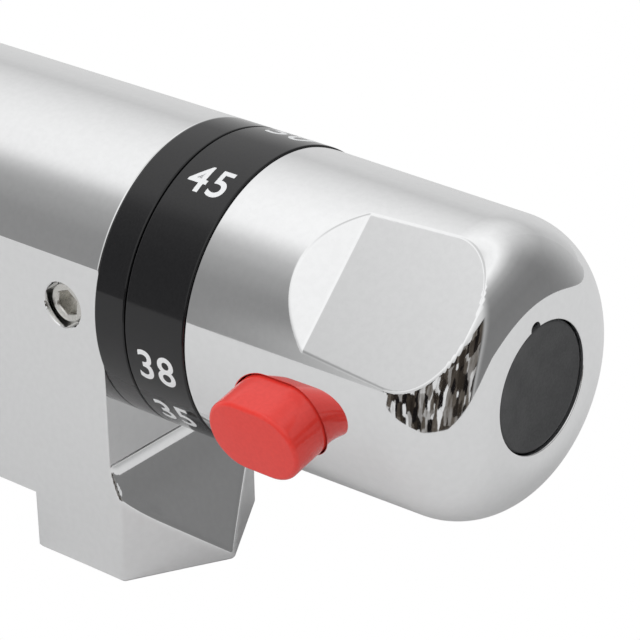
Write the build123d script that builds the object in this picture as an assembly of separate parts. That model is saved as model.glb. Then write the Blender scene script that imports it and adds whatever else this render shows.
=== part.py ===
from build123d import *
import math
import os

# Thermostatic bar mixer for a shower, standing on its two inlet bosses.
# Units are millimetres. +X runs along the bar towards the temperature handle,
# -Y is the front, +Z is up. The origin is the centre of the outlet's mouth.

# Bar and block, one casting
bar_diameter = 50.0
body_length = 165.5
flat_distance = 23.5
block_drop = 37.3
block_edge = 0.8

# Inlet bosses, hexagons cast on the block, threaded inside for 3/4 inch pipe
inlet_centres = 150.0
boss_flats = 33.2
boss_height = 10.4
boss_shoulder = 4.0
boss_edge = 0.5
inlet_thread_radius = 12.06
inlet_thread_depth = 8.3

# Outlet nipple, 1/2 inch male thread
outlet_rise = 0.5
outlet_thread_radius = 10.4
outlet_bore_radius = 6.5
outlet_engagement = 6.6
outlet_collar_radius = 12.6
outlet_collar_height = 1.6
outlet_seal_height = 1.0

# Clearances
running_gap = 0.05
seat_gap = 0.05
face_touch = 0.01
face_gap = 0.25

# Locking screws of the two cartridges, in the flat front
lock_screw_inset = 8.3
lock_screw_radius = 3.85
lock_screw_recess = 0.8
lock_socket_flats = 4.0
lock_socket_depth = 2.6
lock_bevel = 0.5

# Rings between bar and handles
ring_width = 6.2
dial_width = 12.0
ring_wall = 6.5
ring_edge = 0.3
spigot_length = 3.5
spigot_wall = 1.35

# Handles
handle_diameter = 49.5
handle_taper = 0.45
handle_length = 49.9
handle_end_radius = 12.0
handle_bore_radius = 20.0
handle_end_wall = 8.4
handle_inner_bevel = 6.0
grip_distance = 22.15
grip_start = 16.6
grip_floor_start = 22.7
grip_angle = 45.0
grip_edge = 0.6
cap_radius = 10.7
cap_recess = 6.0
cap_thickness = 3.0
cap_sink = 0.5
cap_dish = 0.5
handle_floor = 4.0
hub_radius = 9.6
hub_boss_wall = 2.9
hub_boss_start = 13.5
hub_flange = 1.5
hub_flange_step = 0.4

# Safety button in the temperature handle
button_angle = -12.0
button_centre = 18.35
button_length = 17.2
button_width = 12.6
button_top = 31.0
button_edge = 1.1
button_clearance = 0.3
button_flange_top = 18.1
button_flange_thickness = 1.4
button_flange_lip = 1.1
button_pocket_radius = 3.7
button_pocket_depth = 3.0
button_stroke = 2.5
pawl_width = 6.0
pawl_thickness = 1.6
pawl_reach = 8.0
pawl_nib = 1.4

# Thermostatic cartridge, placed from the end face of the body
cartridge_radius = 17.0
cartridge_depth = 52.0
sleeve_wall = 4.0
sleeve_end_wall = 2.0
sleeve_length = 31.4
mixed_port_radius = 8.0
hot_seat = 41.0
seat_step = 1.0
cold_seat = 28.8
gallery_depth = 2.0
gallery_width = 8.4
window_width = 5.0
window_count = 6
seal_section = 1.9
seal_groove = 2.3
head_body_length = 9.3
head_nose_radius = 12.2
head_nose_length = 8.0
head_bore_radius = 9.0
spindle_shoulder = 4.2
nut_length = 11.0
nut_flange_radius = 18.4
nut_flange_height = 5.0
nut_slot_width = 5.0

# Pieces inside the cartridge
shuttle_length = 11.0
shuttle_wall = 1.7
shuttle_web = 2.0
shuttle_web_offset = 3.4
shuttle_hole_radius = 1.5
element_radius = 4.9
element_bulb_length = 10.8
element_collar_radius = 6.5
element_collar_height = 2.5
element_guide_radius = 4.0
element_guide_length = 6.5
piston_radius = 1.6
piston_length = 4.0
thrust_cap_height = 2.0
carrier_radius = 8.5
carrier_length = 14.2
carrier_bore = 5.0
carrier_floor = 3.0
carrier_key_width = 2.0
carrier_key_reach = 1.6
carrier_stud_radius = 3.95
carrier_stud_length = 6.5
return_spring_radius = 7.0
return_spring_wire = 1.2
return_spring_turns = 4
overload_spring_radius = 3.8
overload_spring_wire = 1.0
overload_spring_turns = 4

# Temperature spindle and its stop ring
spindle_flange_height = 3.6
spindle_stem_radius = 7.0
spindle_waist_radius = 4.6
spindle_end = 46.0
spline_length = 14.0
spline_teeth = 12
spline_tooth = 0.7
handle_screw_radius = 2.0
handle_screw_length = 16.0
handle_screw_head_radius = 4.4
handle_screw_head_height = 2.4
handle_screw_socket = 3.0
stop_ring_radius = 15.5
stop_ring_height = 2.6
stop_lug_height = 2.0
stop_lug_reach = 2.8
stop_finger_half_angle = 5.0
stop_finger_angle = 90.0
stop_clearance_angle = 1.0
turn_to_cold = 150.0
turn_to_hot = 124.0

# Flow headwork, placed from the other end face
headwork_radius = 12.0
headwork_depth = 34.0
headwork_thread_length = 12.0
headwork_sleeve_radius = 10.5
headwork_bore_radius = 8.6
headwork_flats = 27.0
headwork_flange_height = 6.0
headwork_nose_radius = 8.0
headwork_nose_length = 8.0
headwork_chamber = 26.0
flow_stem_radius = 4.0
flow_window_start = 24.0
flow_window_length = 5.0
flow_window_width = 9.0
seal_ring_height = 2.5
seal_ring_hole = 5.6
disc_height = 2.5
disc_port_inner = 2.2
disc_port_outer = 6.6
driver_height = 2.2
driver_tang_width = 3.0
driver_tang_height = 1.4
stem_seal_position = 4.0

# Water ways in the block
centre_bore_radius = 9.0
check_bore_radius = 6.1
check_bore_height = 12.2
filter_seat_radius = 11.0
filter_seat_height = 1.2
cold_way_height = 6.0
way_wall = 2.75
port_radius = 4.0
hot_way_radius = 4.0
hot_way_rear = 11.0
hot_way_drop = 24.0
outlet_way_radius = 4.5
outlet_way_front = 4.0
outlet_way_drop = 26.0

# Inlet filters and check valves
filter_cup_radius = 5.3
filter_cup_height = 3.6
filter_wall = 0.6
filter_hole_radius = 0.8
filter_hole_count = 6
check_wall = 1.1
check_seat_height = 1.6
check_seat_hole = 3.0
poppet_radius = 4.2
poppet_head = 1.3
poppet_stem_radius = 1.2
poppet_stem_length = 6.2
poppet_lift = 1.8
check_bridge = 1.2
check_spring_radius = 2.4
check_spring_wire = 0.6
check_spring_turns = 3

# Places worked out from the sizes above
bar_radius = bar_diameter / 2
handle_radius = handle_diameter / 2
axis_y = flat_distance - boss_flats / 2
boss_face = -outlet_rise
block_face = boss_face + boss_height
axis_z = block_face + block_drop
rear_face = boss_flats / 2
front_face = -boss_flats / 2
body_end = body_length / 2
inlet_x = inlet_centres / 2
dial_start = ring_width + face_gap
handle_start = dial_start + dial_width + seat_gap
handle_end = handle_start + handle_length

# Each end has its own frame: its axis runs outwards from the body's end face,
# its x axis is up, and its angles turn from up towards the front on the right.
right_end = Plane(origin=(body_end, axis_y, axis_z), x_dir=(0, 0, 1), z_dir=(1, 0, 0))
left_end = Plane(origin=(-body_end, axis_y, axis_z), x_dir=(0, 0, 1), z_dir=(-1, 0, 0))


def turned(*points):
    """A solid of revolution about z from its half section, given as (radius, height)."""
    outline = Polyline(*points, close=True)
    return revolve(Plane.XZ * make_face(outline), Axis.Z)


def tube(outer, inner, low, high):
    """A plain ring or tube about z between two heights."""
    return turned((inner, low), (outer, low), (outer, high), (inner, high))


def rod(radius, low, high):
    """A plain round bar about z between two heights."""
    return Pos(0, 0, low) * extrude(Circle(radius), high - low)


def block(low, high):
    """A rectangular block between two corners."""
    size = [b - a for a, b in zip(low, high)]
    centre = [(a + b) / 2 for a, b in zip(low, high)]
    return Pos(*centre) * Box(*size)


def around(count, shape, start=0.0):
    """Copies of a shape, evenly spaced about z."""
    copies = [Rot(0, 0, start + 360 * k / count) * shape for k in range(count)]
    return Part() + copies


def radial(angle, height=0.0):
    """A frame on the axis that looks outwards, its angle counted from the front upwards."""
    turn = math.radians(90 - angle)
    outward = (math.cos(turn), math.sin(turn), 0)
    return Plane(origin=(0, 0, height), x_dir=(0, 0, 1), z_dir=outward)


def spring(radius, wire, low, high, turns):
    """A compression spring of square wire about z that fits between two heights."""
    rise = high - low - wire
    path = Helix(pitch=rise / turns, height=rise, radius=radius)
    section = Plane(origin=path @ 0, x_dir=(1, 0, 0), z_dir=path % 0) * Rectangle(wire, wire)
    return Pos(0, 0, low + wire / 2) * sweep(section, path=path, is_frenet=True)


def splined(radius, gap=0.0):
    """The outline of a splined shaft, or with a gap of its socket."""
    root = Circle(radius - spline_tooth + gap)
    tooth_width = math.pi * radius / spline_teeth
    tooth = Rectangle(radius + gap, tooth_width * 0.8 + 2 * gap, align=(Align.MIN, Align.CENTER))
    teeth = [Rot(0, 0, 360 * k / spline_teeth) * tooth for k in range(spline_teeth)]
    return (root + teeth) & Circle(radius + gap)


def body_section():
    """Round bar with a flat front and a block below, seen along the bar."""
    flat_height = math.sqrt(bar_radius ** 2 - flat_distance ** 2)
    rear = boss_flats - flat_distance
    rear_height = -math.sqrt(bar_radius ** 2 - rear ** 2)
    crown = (0, bar_radius)
    back = (bar_radius, 0)
    outline = [
        ThreePointArc((-flat_distance, flat_height),
                      (-bar_radius * math.sin(math.radians(30)), bar_radius * math.cos(math.radians(30))),
                      crown),
        ThreePointArc(crown, (bar_radius * math.sqrt(0.5), bar_radius * math.sqrt(0.5)), back),
        ThreePointArc(back, (bar_radius * math.cos(math.radians(-40)), bar_radius * math.sin(math.radians(-40))),
                      (rear, rear_height)),
        Line((rear, rear_height), (rear, -block_drop)),
        Line((rear, -block_drop), (-flat_distance, -block_drop)),
        Line((-flat_distance, -block_drop), (-flat_distance, flat_height)),
    ]
    return make_face(outline)


def make_boss(side):
    """One hexagonal inlet boss, its free shoulder rounded, side is +1 or -1 along x."""
    hexagon = RegularPolygon(boss_flats / 2, 6, major_radius=False)
    boss = Pos(side * inlet_x, 0, boss_face) * extrude(hexagon, boss_height)
    uprights = boss.edges().filter_by(Axis.Z)
    boss = fillet(uprights, boss_edge)
    tops = boss.faces().sort_by(Axis.Z)[-1].edges()
    free = [edge for edge in tops if side * edge.center().X > body_end]
    return fillet(free, boss_shoulder)


def make_valve_body():
    """The casting: bar, block and bosses, bored for both cartridges and the water ways."""
    body = Pos(0, axis_y, axis_z) * extrude(Plane.YZ * body_section(), body_length / 2, both=True)
    lower = [edge for edge in body.edges().filter_by(Axis.X) if abs(edge.center().Z - block_face) < 0.01]
    body = fillet(lower, block_edge)
    body += make_boss(1)
    body += make_boss(-1)
    body -= right_end * rod(cartridge_radius, -cartridge_depth, 1)
    body -= left_end * rod(headwork_radius, -headwork_depth, 1)
    centre_start = -body_end + headwork_depth
    centre_length = body_length - headwork_depth - cartridge_depth
    centre = Plane(origin=(centre_start - 1, axis_y, axis_z), x_dir=(0, 1, 0), z_dir=(1, 0, 0))
    body -= centre * rod(centre_bore_radius, 0, centre_length + 2)
    for side in (1, -1):
        stack = Pos(side * inlet_x, 0, 0)
        seat = boss_face + inlet_thread_depth
        body -= stack * rod(inlet_thread_radius, boss_face - 1, seat)
        body -= stack * rod(filter_seat_radius, seat, seat + filter_seat_height)
        check_floor = seat + filter_seat_height
        body -= stack * rod(check_bore_radius, check_floor, check_floor + check_bore_height + cold_way_height)
    way_floor = boss_face + inlet_thread_depth + filter_seat_height + check_bore_height
    cold_x = body_end - cold_seat
    body -= block((cold_x - port_radius, -check_bore_radius, way_floor),
                  (body_end - way_wall, check_bore_radius, way_floor + cold_way_height))
    cold_port = Pos(cold_x, 0, 0) * rod(port_radius, way_floor, axis_z - cartridge_radius / 2)
    body -= cold_port
    hot_y = hot_way_rear
    hot_z = axis_z - hot_way_drop
    hot_x = body_end - hot_seat
    hot_line = Plane(origin=(-inlet_x, hot_y, hot_z), x_dir=(0, 1, 0), z_dir=(1, 0, 0))
    body -= hot_line * rod(hot_way_radius, 0, inlet_x + hot_x)
    body -= Pos(hot_x, hot_y, 0) * rod(hot_way_radius, hot_z, axis_z - cartridge_radius / 2)
    body -= block((-body_end + way_wall, -check_bore_radius, way_floor),
                  (-inlet_x + check_bore_radius, hot_y + hot_way_radius, way_floor + cold_way_height))
    out_z = axis_z - outlet_way_drop
    out_x = -body_end + flow_window_start - flow_window_length / 2
    out_line = Plane(origin=(out_x, -outlet_way_front, out_z), x_dir=(0, 1, 0), z_dir=(1, 0, 0))
    body -= out_line * rod(outlet_way_radius, 0, -out_x)
    body -= Pos(out_x, -outlet_way_front, 0) * rod(outlet_way_radius, out_z, axis_z - headwork_radius / 2)
    body -= rod(outlet_thread_radius, block_face - 1, block_face + outlet_engagement)
    body -= rod(outlet_bore_radius, block_face, out_z)
    for end in (right_end, left_end):
        screw_line = radial(0, -lock_screw_inset)
        if end is left_end:
            screw_line = radial(180, -lock_screw_inset)
        body -= end * screw_line * rod(lock_screw_radius + running_gap, headwork_radius / 2, bar_radius + 1)
        body -= end * screw_line * turned((0, flat_distance - lock_bevel),
                                          (lock_screw_radius + running_gap, flat_distance - lock_bevel),
                                          (lock_screw_radius + 2 * lock_bevel, flat_distance + lock_bevel),
                                          (0, flat_distance + lock_bevel))
    return body


def make_lock_screw(end, angle, low):
    """A socket set screw in the flat front, its tip against the cartridge."""
    top = flat_distance - lock_screw_recess
    screw = turned((0, low), (lock_screw_radius - lock_bevel, low), (lock_screw_radius, low + lock_bevel),
                   (lock_screw_radius, top - lock_bevel), (lock_screw_radius - lock_bevel, top), (0, top))
    socket = RegularPolygon(lock_socket_flats / 2, 6, major_radius=False)
    screw -= Pos(0, 0, top - lock_socket_depth) * extrude(socket, lock_socket_depth + 1)
    return end * radial(angle, -lock_screw_inset) * screw


def make_outlet_nipple():
    """The hose nipple, screwed up into the block, with a collar against the seal."""
    collar_top = block_face - outlet_seal_height
    collar_low = collar_top - outlet_collar_height
    top = block_face + outlet_engagement - face_gap
    thread = outlet_thread_radius
    nipple = turned((outlet_bore_radius, 0), (thread, 0), (thread, collar_low),
                    (outlet_collar_radius, collar_low), (outlet_collar_radius, collar_top),
                    (thread - running_gap, collar_top), (thread - running_gap, top), (outlet_bore_radius, top))
    return nipple


def make_outlet_seal():
    """The flat seal between the nipple's collar and the block."""
    return tube(outlet_collar_radius, outlet_thread_radius, block_face - outlet_seal_height, block_face)


def make_filter(side):
    """A strainer cup with a flange, pushed up into its seat in the inlet."""
    low = boss_face + inlet_thread_depth
    flange = low + filter_seat_height
    top = flange + filter_cup_height
    cup = turned((0, top), (0, top - filter_wall), (filter_cup_radius - filter_wall, top - filter_wall),
                 (filter_cup_radius - filter_wall, low), (filter_seat_radius - running_gap, low),
                 (filter_seat_radius - running_gap, flange - running_gap), (filter_cup_radius, flange - running_gap),
                 (filter_cup_radius, top))
    hole = Pos(filter_cup_radius * 0.6, 0, low) * extrude(Circle(filter_hole_radius), top - low + 1)
    return Pos(side * inlet_x, 0, 0) * (cup - around(filter_hole_count, hole))


def check_low():
    """The height of the check valve's lower end, just above the strainer cup."""
    return boss_face + inlet_thread_depth + filter_seat_height + filter_cup_height + face_gap


def make_check_housing(side):
    """The check valve's sleeve: a seat ring below, and a guide bridge above."""
    low = check_low()
    top = boss_face + inlet_thread_depth + filter_seat_height + check_bore_height
    outer = check_bore_radius - running_gap
    inner = outer - check_wall
    sleeve = turned((check_seat_hole, low), (outer, low), (outer, top), (inner, top),
                    (inner, low + check_seat_height), (check_seat_hole, low + check_seat_height))
    bridge = block((-inner - 0.3, -check_bridge, top - check_bridge), (inner + 0.3, check_bridge, top))
    guide = tube(poppet_stem_radius + running_gap + 0.8, 0, top - check_bridge, top)
    hole = rod(poppet_stem_radius + running_gap, low, top + 1)
    return Pos(side * inlet_x, 0, 0) * (sleeve + ((bridge + guide) - hole))


def make_poppet(side):
    """The check valve's closing piece, resting on its seat, with a guided stem."""
    low = check_low() + check_seat_height + seat_gap
    return Pos(side * inlet_x, 0, 0) * turned((0, low), (poppet_radius - 0.5, low), (poppet_radius, low + 0.5),
                                              (poppet_radius, low + poppet_head),
                                              (poppet_stem_radius, low + poppet_head),
                                              (poppet_stem_radius, low + poppet_head + poppet_stem_length),
                                              (0, low + poppet_head + poppet_stem_length))


def make_check_spring(side):
    """The light spring that closes the check valve."""
    low = check_low() + check_seat_height + seat_gap + poppet_head + seat_gap
    top = boss_face + inlet_thread_depth + filter_seat_height + check_bore_height - check_bridge - seat_gap
    coil = spring(check_spring_radius, check_spring_wire, low, top, check_spring_turns)
    return Pos(side * inlet_x, 0, 0) * coil


def make_fixed_ring():
    """The black ring that stays with the body and covers the cartridge's flange."""
    ring = tube(bar_radius, nut_flange_radius + running_gap, 0, ring_width)
    rim = ring.edges().filter_by(GeomType.CIRCLE).filter_by(lambda e: e.radius > bar_radius - 0.1)
    return fillet(rim, ring_edge)


def make_dial_ring(with_finger):
    """The black ring that turns with its handle, spigoted into the handle's mouth."""
    inner = handle_bore_radius - running_gap - spigot_wall
    high = dial_start + dial_width
    ring = turned((inner, dial_start), (bar_radius, dial_start), (bar_radius, high),
                  (handle_bore_radius - running_gap, high), (handle_bore_radius - running_gap, high + spigot_length),
                  (inner, high + spigot_length))
    rim = ring.edges().filter_by(GeomType.CIRCLE).filter_by(lambda e: e.radius > bar_radius - 0.1)
    ring = fillet(rim, ring_edge)
    if with_finger:
        reach = inner - stop_ring_radius - 2 * running_gap - 0.2
        depth = stop_start() + stop_ring_height + stop_lug_height - dial_start
        finger = sector(inner - reach, inner + 0.5, -stop_finger_half_angle, stop_finger_half_angle)
        ring += Rot(0, 0, 90 - stop_finger_angle) * Pos(0, 0, dial_start) * extrude(finger, depth)
    return ring


def sector(inner, outer, start, stop):
    """A flat ring sector between two radii and two angles."""
    ring = Circle(outer) - Circle(inner)
    reach = outer * 2
    middle = math.radians((start + stop) / 2)
    corners = [(0, 0)]
    for angle in (start, (start + stop) / 2, stop):
        corners.append((reach * math.cos(math.radians(angle)), reach * math.sin(math.radians(angle))))
    wedge = make_face(Polyline(*corners, close=True))
    return ring & wedge


def stop_start():
    """Where the stop ring begins, just outside the cartridge nut's flange."""
    return nut_flange_height + face_gap


def make_stop_ring():
    """The temperature stop: a ring on the cartridge's nose with one wide lug."""
    low = stop_start()
    ring = tube(stop_ring_radius, head_nose_radius + seat_gap, low, low + stop_ring_height)
    hot_side = stop_finger_angle - turn_to_hot - stop_finger_half_angle - stop_clearance_angle
    cold_side = stop_finger_angle + turn_to_cold + stop_finger_half_angle + stop_clearance_angle - 360
    lug = sector(stop_ring_radius - 1, stop_ring_radius + stop_lug_reach - 0.3, 90 - hot_side, 90 - cold_side)
    return ring + Pos(0, 0, low) * extrude(lug, stop_ring_height)


def handle_shell():
    """The cast handle before its slot: rounded end, hollow inside, with two flat grips."""
    outer = handle_radius
    tip = handle_radius - handle_taper
    shoulder = handle_end - handle_end_radius
    middle = math.radians(45)
    arc_middle = (tip - handle_end_radius * (1 - math.cos(middle)), 0,
                  shoulder + handle_end_radius * math.sin(middle))
    cavity = handle_end - handle_end_wall
    boss_low = handle_start + hub_boss_start
    boss_outer = hub_radius + hub_boss_wall
    floor_top = handle_end - cap_recess
    floor_low = floor_top - handle_floor
    hole = handle_screw_radius + 2 * running_gap
    start = handle_start
    outline = [
        Line((handle_bore_radius, 0, start), (outer - 0.3, 0, start)),
        Line((outer - 0.3, 0, start), (outer, 0, start + 0.3)),
        Line((outer, 0, start + 0.3), (tip, 0, shoulder)),
        ThreePointArc((tip, 0, shoulder), arc_middle, (tip - handle_end_radius, 0, handle_end)),
        Line((tip - handle_end_radius, 0, handle_end), (cap_radius, 0, handle_end)),
        Line((cap_radius, 0, handle_end), (cap_radius, 0, floor_top)),
        Line((cap_radius, 0, floor_top), (hole, 0, floor_top)),
        Line((hole, 0, floor_top), (hole, 0, floor_low)),
        Line((hole, 0, floor_low), (hub_radius, 0, floor_low)),
        Line((hub_radius, 0, floor_low), (hub_radius, 0, boss_low)),
        Line((hub_radius, 0, boss_low), (boss_outer, 0, boss_low)),
        Line((boss_outer, 0, boss_low), (boss_outer, 0, cavity)),
        Line((boss_outer, 0, cavity), (handle_bore_radius - handle_inner_bevel, 0, cavity)),
        Line((handle_bore_radius - handle_inner_bevel, 0, cavity),
             (handle_bore_radius, 0, cavity - handle_inner_bevel)),
        Line((handle_bore_radius, 0, cavity - handle_inner_bevel), (handle_bore_radius, 0, start)),
    ]
    shell = revolve(make_face(outline), Axis.Z)
    wall_top = grip_distance + handle_radius
    wall_slope = (grip_floor_start - grip_start) / (handle_radius - grip_distance)
    floor_at = handle_start + grip_floor_start
    wedge = Polyline((floor_at, 0, grip_distance), (handle_end + 1, 0, grip_distance),
                     (handle_end + 1, 0, wall_top),
                     (floor_at - wall_slope * (wall_top - grip_distance), 0, wall_top), close=True)
    cutter = extrude(make_face(wedge), handle_radius, both=True)
    for side in (0, 180):
        shell -= radial(grip_angle + side) * cutter
    return shell


def make_temperature_handle():
    """The temperature handle with the slot for its safety button."""
    shell = handle_shell()
    slot = SlotOverall(button_length + 2 * button_clearance, button_width + 2 * button_clearance)
    cut = extrude(slot, handle_radius)
    return shell - radial(button_angle, handle_start + button_centre) * Pos(0, 0, handle_bore_radius / 2 + 4) * cut


def make_safety_button():
    """The red button: an oblong head, a flange that keeps it in, a spring pocket and a pawl."""
    flange_low = button_flange_top - button_flange_thickness
    head = Pos(0, 0, flange_low) * extrude(SlotOverall(button_length, button_width), button_top - flange_low)
    rim = head.faces().sort_by(Axis.Z)[-1].edges()
    head = fillet(rim, button_edge)
    flange = SlotOverall(button_length + 2 * button_flange_lip, button_width + 2 * button_flange_lip)
    head += Pos(0, 0, flange_low) * extrude(flange, button_flange_thickness)
    reach = button_length / 2 + pawl_reach
    head += block((-reach, -pawl_width / 2, flange_low - 0.1), (0, pawl_width / 2, flange_low + pawl_thickness - 0.1))
    head += block((-reach, -pawl_width / 2, flange_low - pawl_nib), (-reach + 2, pawl_width / 2, flange_low))
    head -= rod(button_pocket_radius, flange_low - 1, flange_low + button_pocket_depth)
    return radial(button_angle, handle_start + button_centre) * head


def make_button_spring():
    """The spring between the handle's hub boss and the button's pocket."""
    flange_low = button_flange_top - button_flange_thickness
    low = hub_radius + hub_boss_wall + seat_gap
    top = flange_low + button_pocket_depth - seat_gap
    coil = spring(button_pocket_radius - 1.0, 0.6, low, top, 4)
    return radial(button_angle, handle_start + button_centre) * coil


def make_cap():
    """The round cap in the handle's end, slightly dished, with a notch to lift it out."""
    low = handle_end - cap_sink - cap_thickness
    top = handle_end - cap_sink
    radius = cap_radius - running_gap
    edge = 0.6
    outline = [
        Line((0, 0, low), (radius, 0, low)),
        Line((radius, 0, low), (radius, 0, top - edge)),
        Line((radius, 0, top - edge), (radius - edge, 0, top)),
        ThreePointArc((radius - edge, 0, top), (radius / 2, 0, top - cap_dish * 0.7), (0, 0, top - cap_dish)),
        Line((0, 0, top - cap_dish), (0, 0, low)),
    ]
    cap = revolve(make_face(outline), Axis.Z)
    skirt = tube(radius, radius - 1.2, low - (cap_recess - cap_sink - cap_thickness) + face_gap, low)
    notch = radial(100, 0) * block((low + 1.0, -1.2, radius - 1.0), (top + 1, 1.2, radius + 1))
    return cap + skirt - notch


def make_hub(socket_radius):
    """The plastic hub in the handle's boss, splined on the spindle."""
    low = handle_start + hub_boss_start
    top = handle_end - cap_recess - handle_floor
    rim = hub_radius + hub_boss_wall - hub_flange_step
    hub = turned((0, low - hub_flange), (rim, low - hub_flange), (rim, low - face_touch), (hub_radius - running_gap, low),
                 (hub_radius - running_gap, top - running_gap), (0, top - running_gap))
    hub -= Pos(0, 0, low - hub_flange - 1) * extrude(splined(socket_radius, running_gap), spindle_end - low + 3)
    hub -= rod(handle_screw_radius + 2 * running_gap, low, top + 1)
    return hub


def make_handle_screw():
    """The screw under the cap that holds the handle on its spindle."""
    seat = handle_end - cap_recess + running_gap / 5
    low = seat - handle_screw_length
    head = handle_screw_head_radius
    top = seat + handle_screw_head_height
    screw = turned((0, low), (handle_screw_radius, low), (handle_screw_radius, seat), (head, seat),
                   (head, top - 0.4), (head - 0.4, top), (0, top))
    socket = RegularPolygon(handle_screw_socket / 2, 6, major_radius=False)
    return screw - Pos(0, 0, top - 1.6) * extrude(socket, 2)


def make_cartridge_sleeve():
    """The cartridge's rear sleeve, grooved for seals, with windows for hot and cold water."""
    outer = cartridge_radius - running_gap
    inner = cartridge_radius - sleeve_wall
    end = -cartridge_depth + running_gap
    mouth = end + sleeve_length
    sleeve = turned((mixed_port_radius, end), (outer, end), (outer, mouth), (inner, mouth), (inner, -hot_seat),
                    (inner - seat_step, -hot_seat), (inner - seat_step, end + sleeve_end_wall),
                    (mixed_port_radius, end + sleeve_end_wall))
    for place in gallery_places():
        low = place - gallery_width / 2
        sleeve -= tube(outer + 1, outer - gallery_depth, low, low + gallery_width)
        hole = Plane(origin=(0, 0, place), x_dir=(0, 0, 1), z_dir=(1, 0, 0))
        window = hole * extrude(SlotOverall(window_width, window_width / 2 + 0.5), outer)
        sleeve -= around(window_count, window, 15)
    for place in sleeve_seal_places():
        sleeve -= seal_cut(place)
    return sleeve


def gallery_places():
    """The middles of the hot and the cold gallery round the sleeve."""
    return (-hot_seat, -cold_seat)


def sleeve_seal_places():
    """The middles of the seal grooves at the sleeve's inner end and between the galleries."""
    between = -(hot_seat + cold_seat) / 2
    inner_end = -cartridge_depth + running_gap + sleeve_end_wall
    return (inner_end, between)


def head_seal_place():
    """The middle of the seal groove on the cartridge head."""
    return -cartridge_depth + running_gap + sleeve_length + head_body_length / 2


def seal_cut(place):
    """The ring cut away for one seal groove."""
    outer = cartridge_radius - running_gap
    depth = seal_section - running_gap
    return tube(outer + 1, outer - depth, place - seal_groove / 2, place + seal_groove / 2)


def make_cartridge_seals():
    """Three square-section seal rings in the cartridge's grooves."""
    outer = cartridge_radius - running_gap / 5
    rings = Part()
    for place in sleeve_seal_places() + (head_seal_place(),):
        rings += tube(outer, outer - seal_section + running_gap, place - seal_section / 2, place + seal_section / 2)
    return rings


def make_cartridge_head():
    """The cartridge's front half: cold seat inside, seal groove, and the nose for the spindle."""
    outer = cartridge_radius - running_gap
    joint = -cartridge_depth + running_gap + sleeve_length + running_gap / 5
    plug = cartridge_radius - sleeve_wall - running_gap
    step = joint + head_body_length
    head = turned((head_bore_radius, -cold_seat), (plug, -cold_seat), (plug, joint), (outer, joint),
                  (outer, step), (head_nose_radius, step), (head_nose_radius, head_nose_length),
                  (spindle_stem_radius + running_gap, head_nose_length),
                  (spindle_stem_radius + running_gap, -spindle_shoulder), (head_bore_radius, -spindle_shoulder))
    head -= seal_cut(head_seal_place())
    reach = carrier_radius + carrier_key_reach + running_gap
    width = carrier_key_width / 2 + running_gap
    key_end = -spindle_shoulder - spindle_flange_height - face_gap
    head -= block((-reach, -width, -cold_seat - 1), (reach, width, key_end))
    return head


def make_cartridge_nut():
    """The brass nut that holds the cartridge in the body, with slots for a pin wrench."""
    start = -cartridge_depth + running_gap + sleeve_length + head_body_length + running_gap
    inner = head_nose_radius + running_gap
    nut = turned((inner, start), (cartridge_radius - running_gap, start), (cartridge_radius - running_gap, 0),
                 (nut_flange_radius, 0), (nut_flange_radius, nut_flange_height), (inner, nut_flange_height))
    slot = block((nut_flange_radius - 3.2, -nut_slot_width / 2, nut_flange_height - 2.5),
                 (nut_flange_radius + 1, nut_slot_width / 2, nut_flange_height + 1))
    return nut - around(4, slot, 45)


def shuttle_low():
    """The inner end of the shuttle, half way between its two seats."""
    return -(hot_seat + cold_seat) / 2 - shuttle_length / 2


def make_shuttle():
    """The sliding ring that opens the hot seat as it closes the cold one."""
    outer = cartridge_radius - sleeve_wall - running_gap
    low = shuttle_low()
    web = low + shuttle_web_offset
    ring = tube(outer, outer - shuttle_wall, low, low + shuttle_length)
    ring += tube(outer - shuttle_wall / 2, element_radius + running_gap, web, web + shuttle_web)
    place = (outer - shuttle_wall + element_radius) / 2 + 1.3
    hole = Pos(place, 0, web - 1) * extrude(Circle(shuttle_hole_radius), shuttle_web + 2)
    return ring - around(6, hole)


def make_wax_element():
    """The wax element: sensing bulb, collar on the shuttle's web, guide and piston."""
    web_top = shuttle_low() + shuttle_web_offset + shuttle_web + running_gap
    bulb_low = web_top - shuttle_web - element_bulb_length
    collar_top = web_top + element_collar_height
    guide_top = collar_top + element_guide_length
    piston_top = guide_top + piston_length
    nose = 1.5
    return turned((0, bulb_low), (element_radius - nose, bulb_low), (element_radius, bulb_low + nose),
                  (element_radius, web_top), (element_collar_radius, web_top), (element_collar_radius, collar_top),
                  (element_guide_radius, collar_top), (element_guide_radius, guide_top), (piston_radius, guide_top),
                  (piston_radius, piston_top), (0, piston_top))


def piston_tip():
    """The height of the wax element's piston tip."""
    web_top = shuttle_low() + shuttle_web_offset + shuttle_web + running_gap
    return web_top + element_collar_height + element_guide_length + piston_length


def make_thrust_cap():
    """The cap that the piston pushes on, in the mouth of the carrier's bore."""
    low = piston_tip() + seat_gap
    return rod(carrier_bore - running_gap, low, low + thrust_cap_height)


def carrier_low():
    """The inner end of the spring carrier."""
    return piston_tip() - 1.0


def make_spring_carrier():
    """The keyed carrier that the spindle's thread moves along, with the overload spring's bore."""
    low = carrier_low()
    high = low + carrier_length
    carrier = turned((carrier_bore, low), (carrier_radius, low), (carrier_radius, high), (carrier_stud_radius, high),
                     (carrier_stud_radius, high + carrier_stud_length), (0, high + carrier_stud_length),
                     (0, high - carrier_floor), (carrier_bore, high - carrier_floor))
    reach = carrier_radius + carrier_key_reach
    for side in (1, -1):
        inner, outer = sorted((side * (carrier_radius - 1), side * reach))
        carrier += block((inner, -carrier_key_width / 2, low), (outer, carrier_key_width / 2, high - 4))
    return carrier


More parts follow.
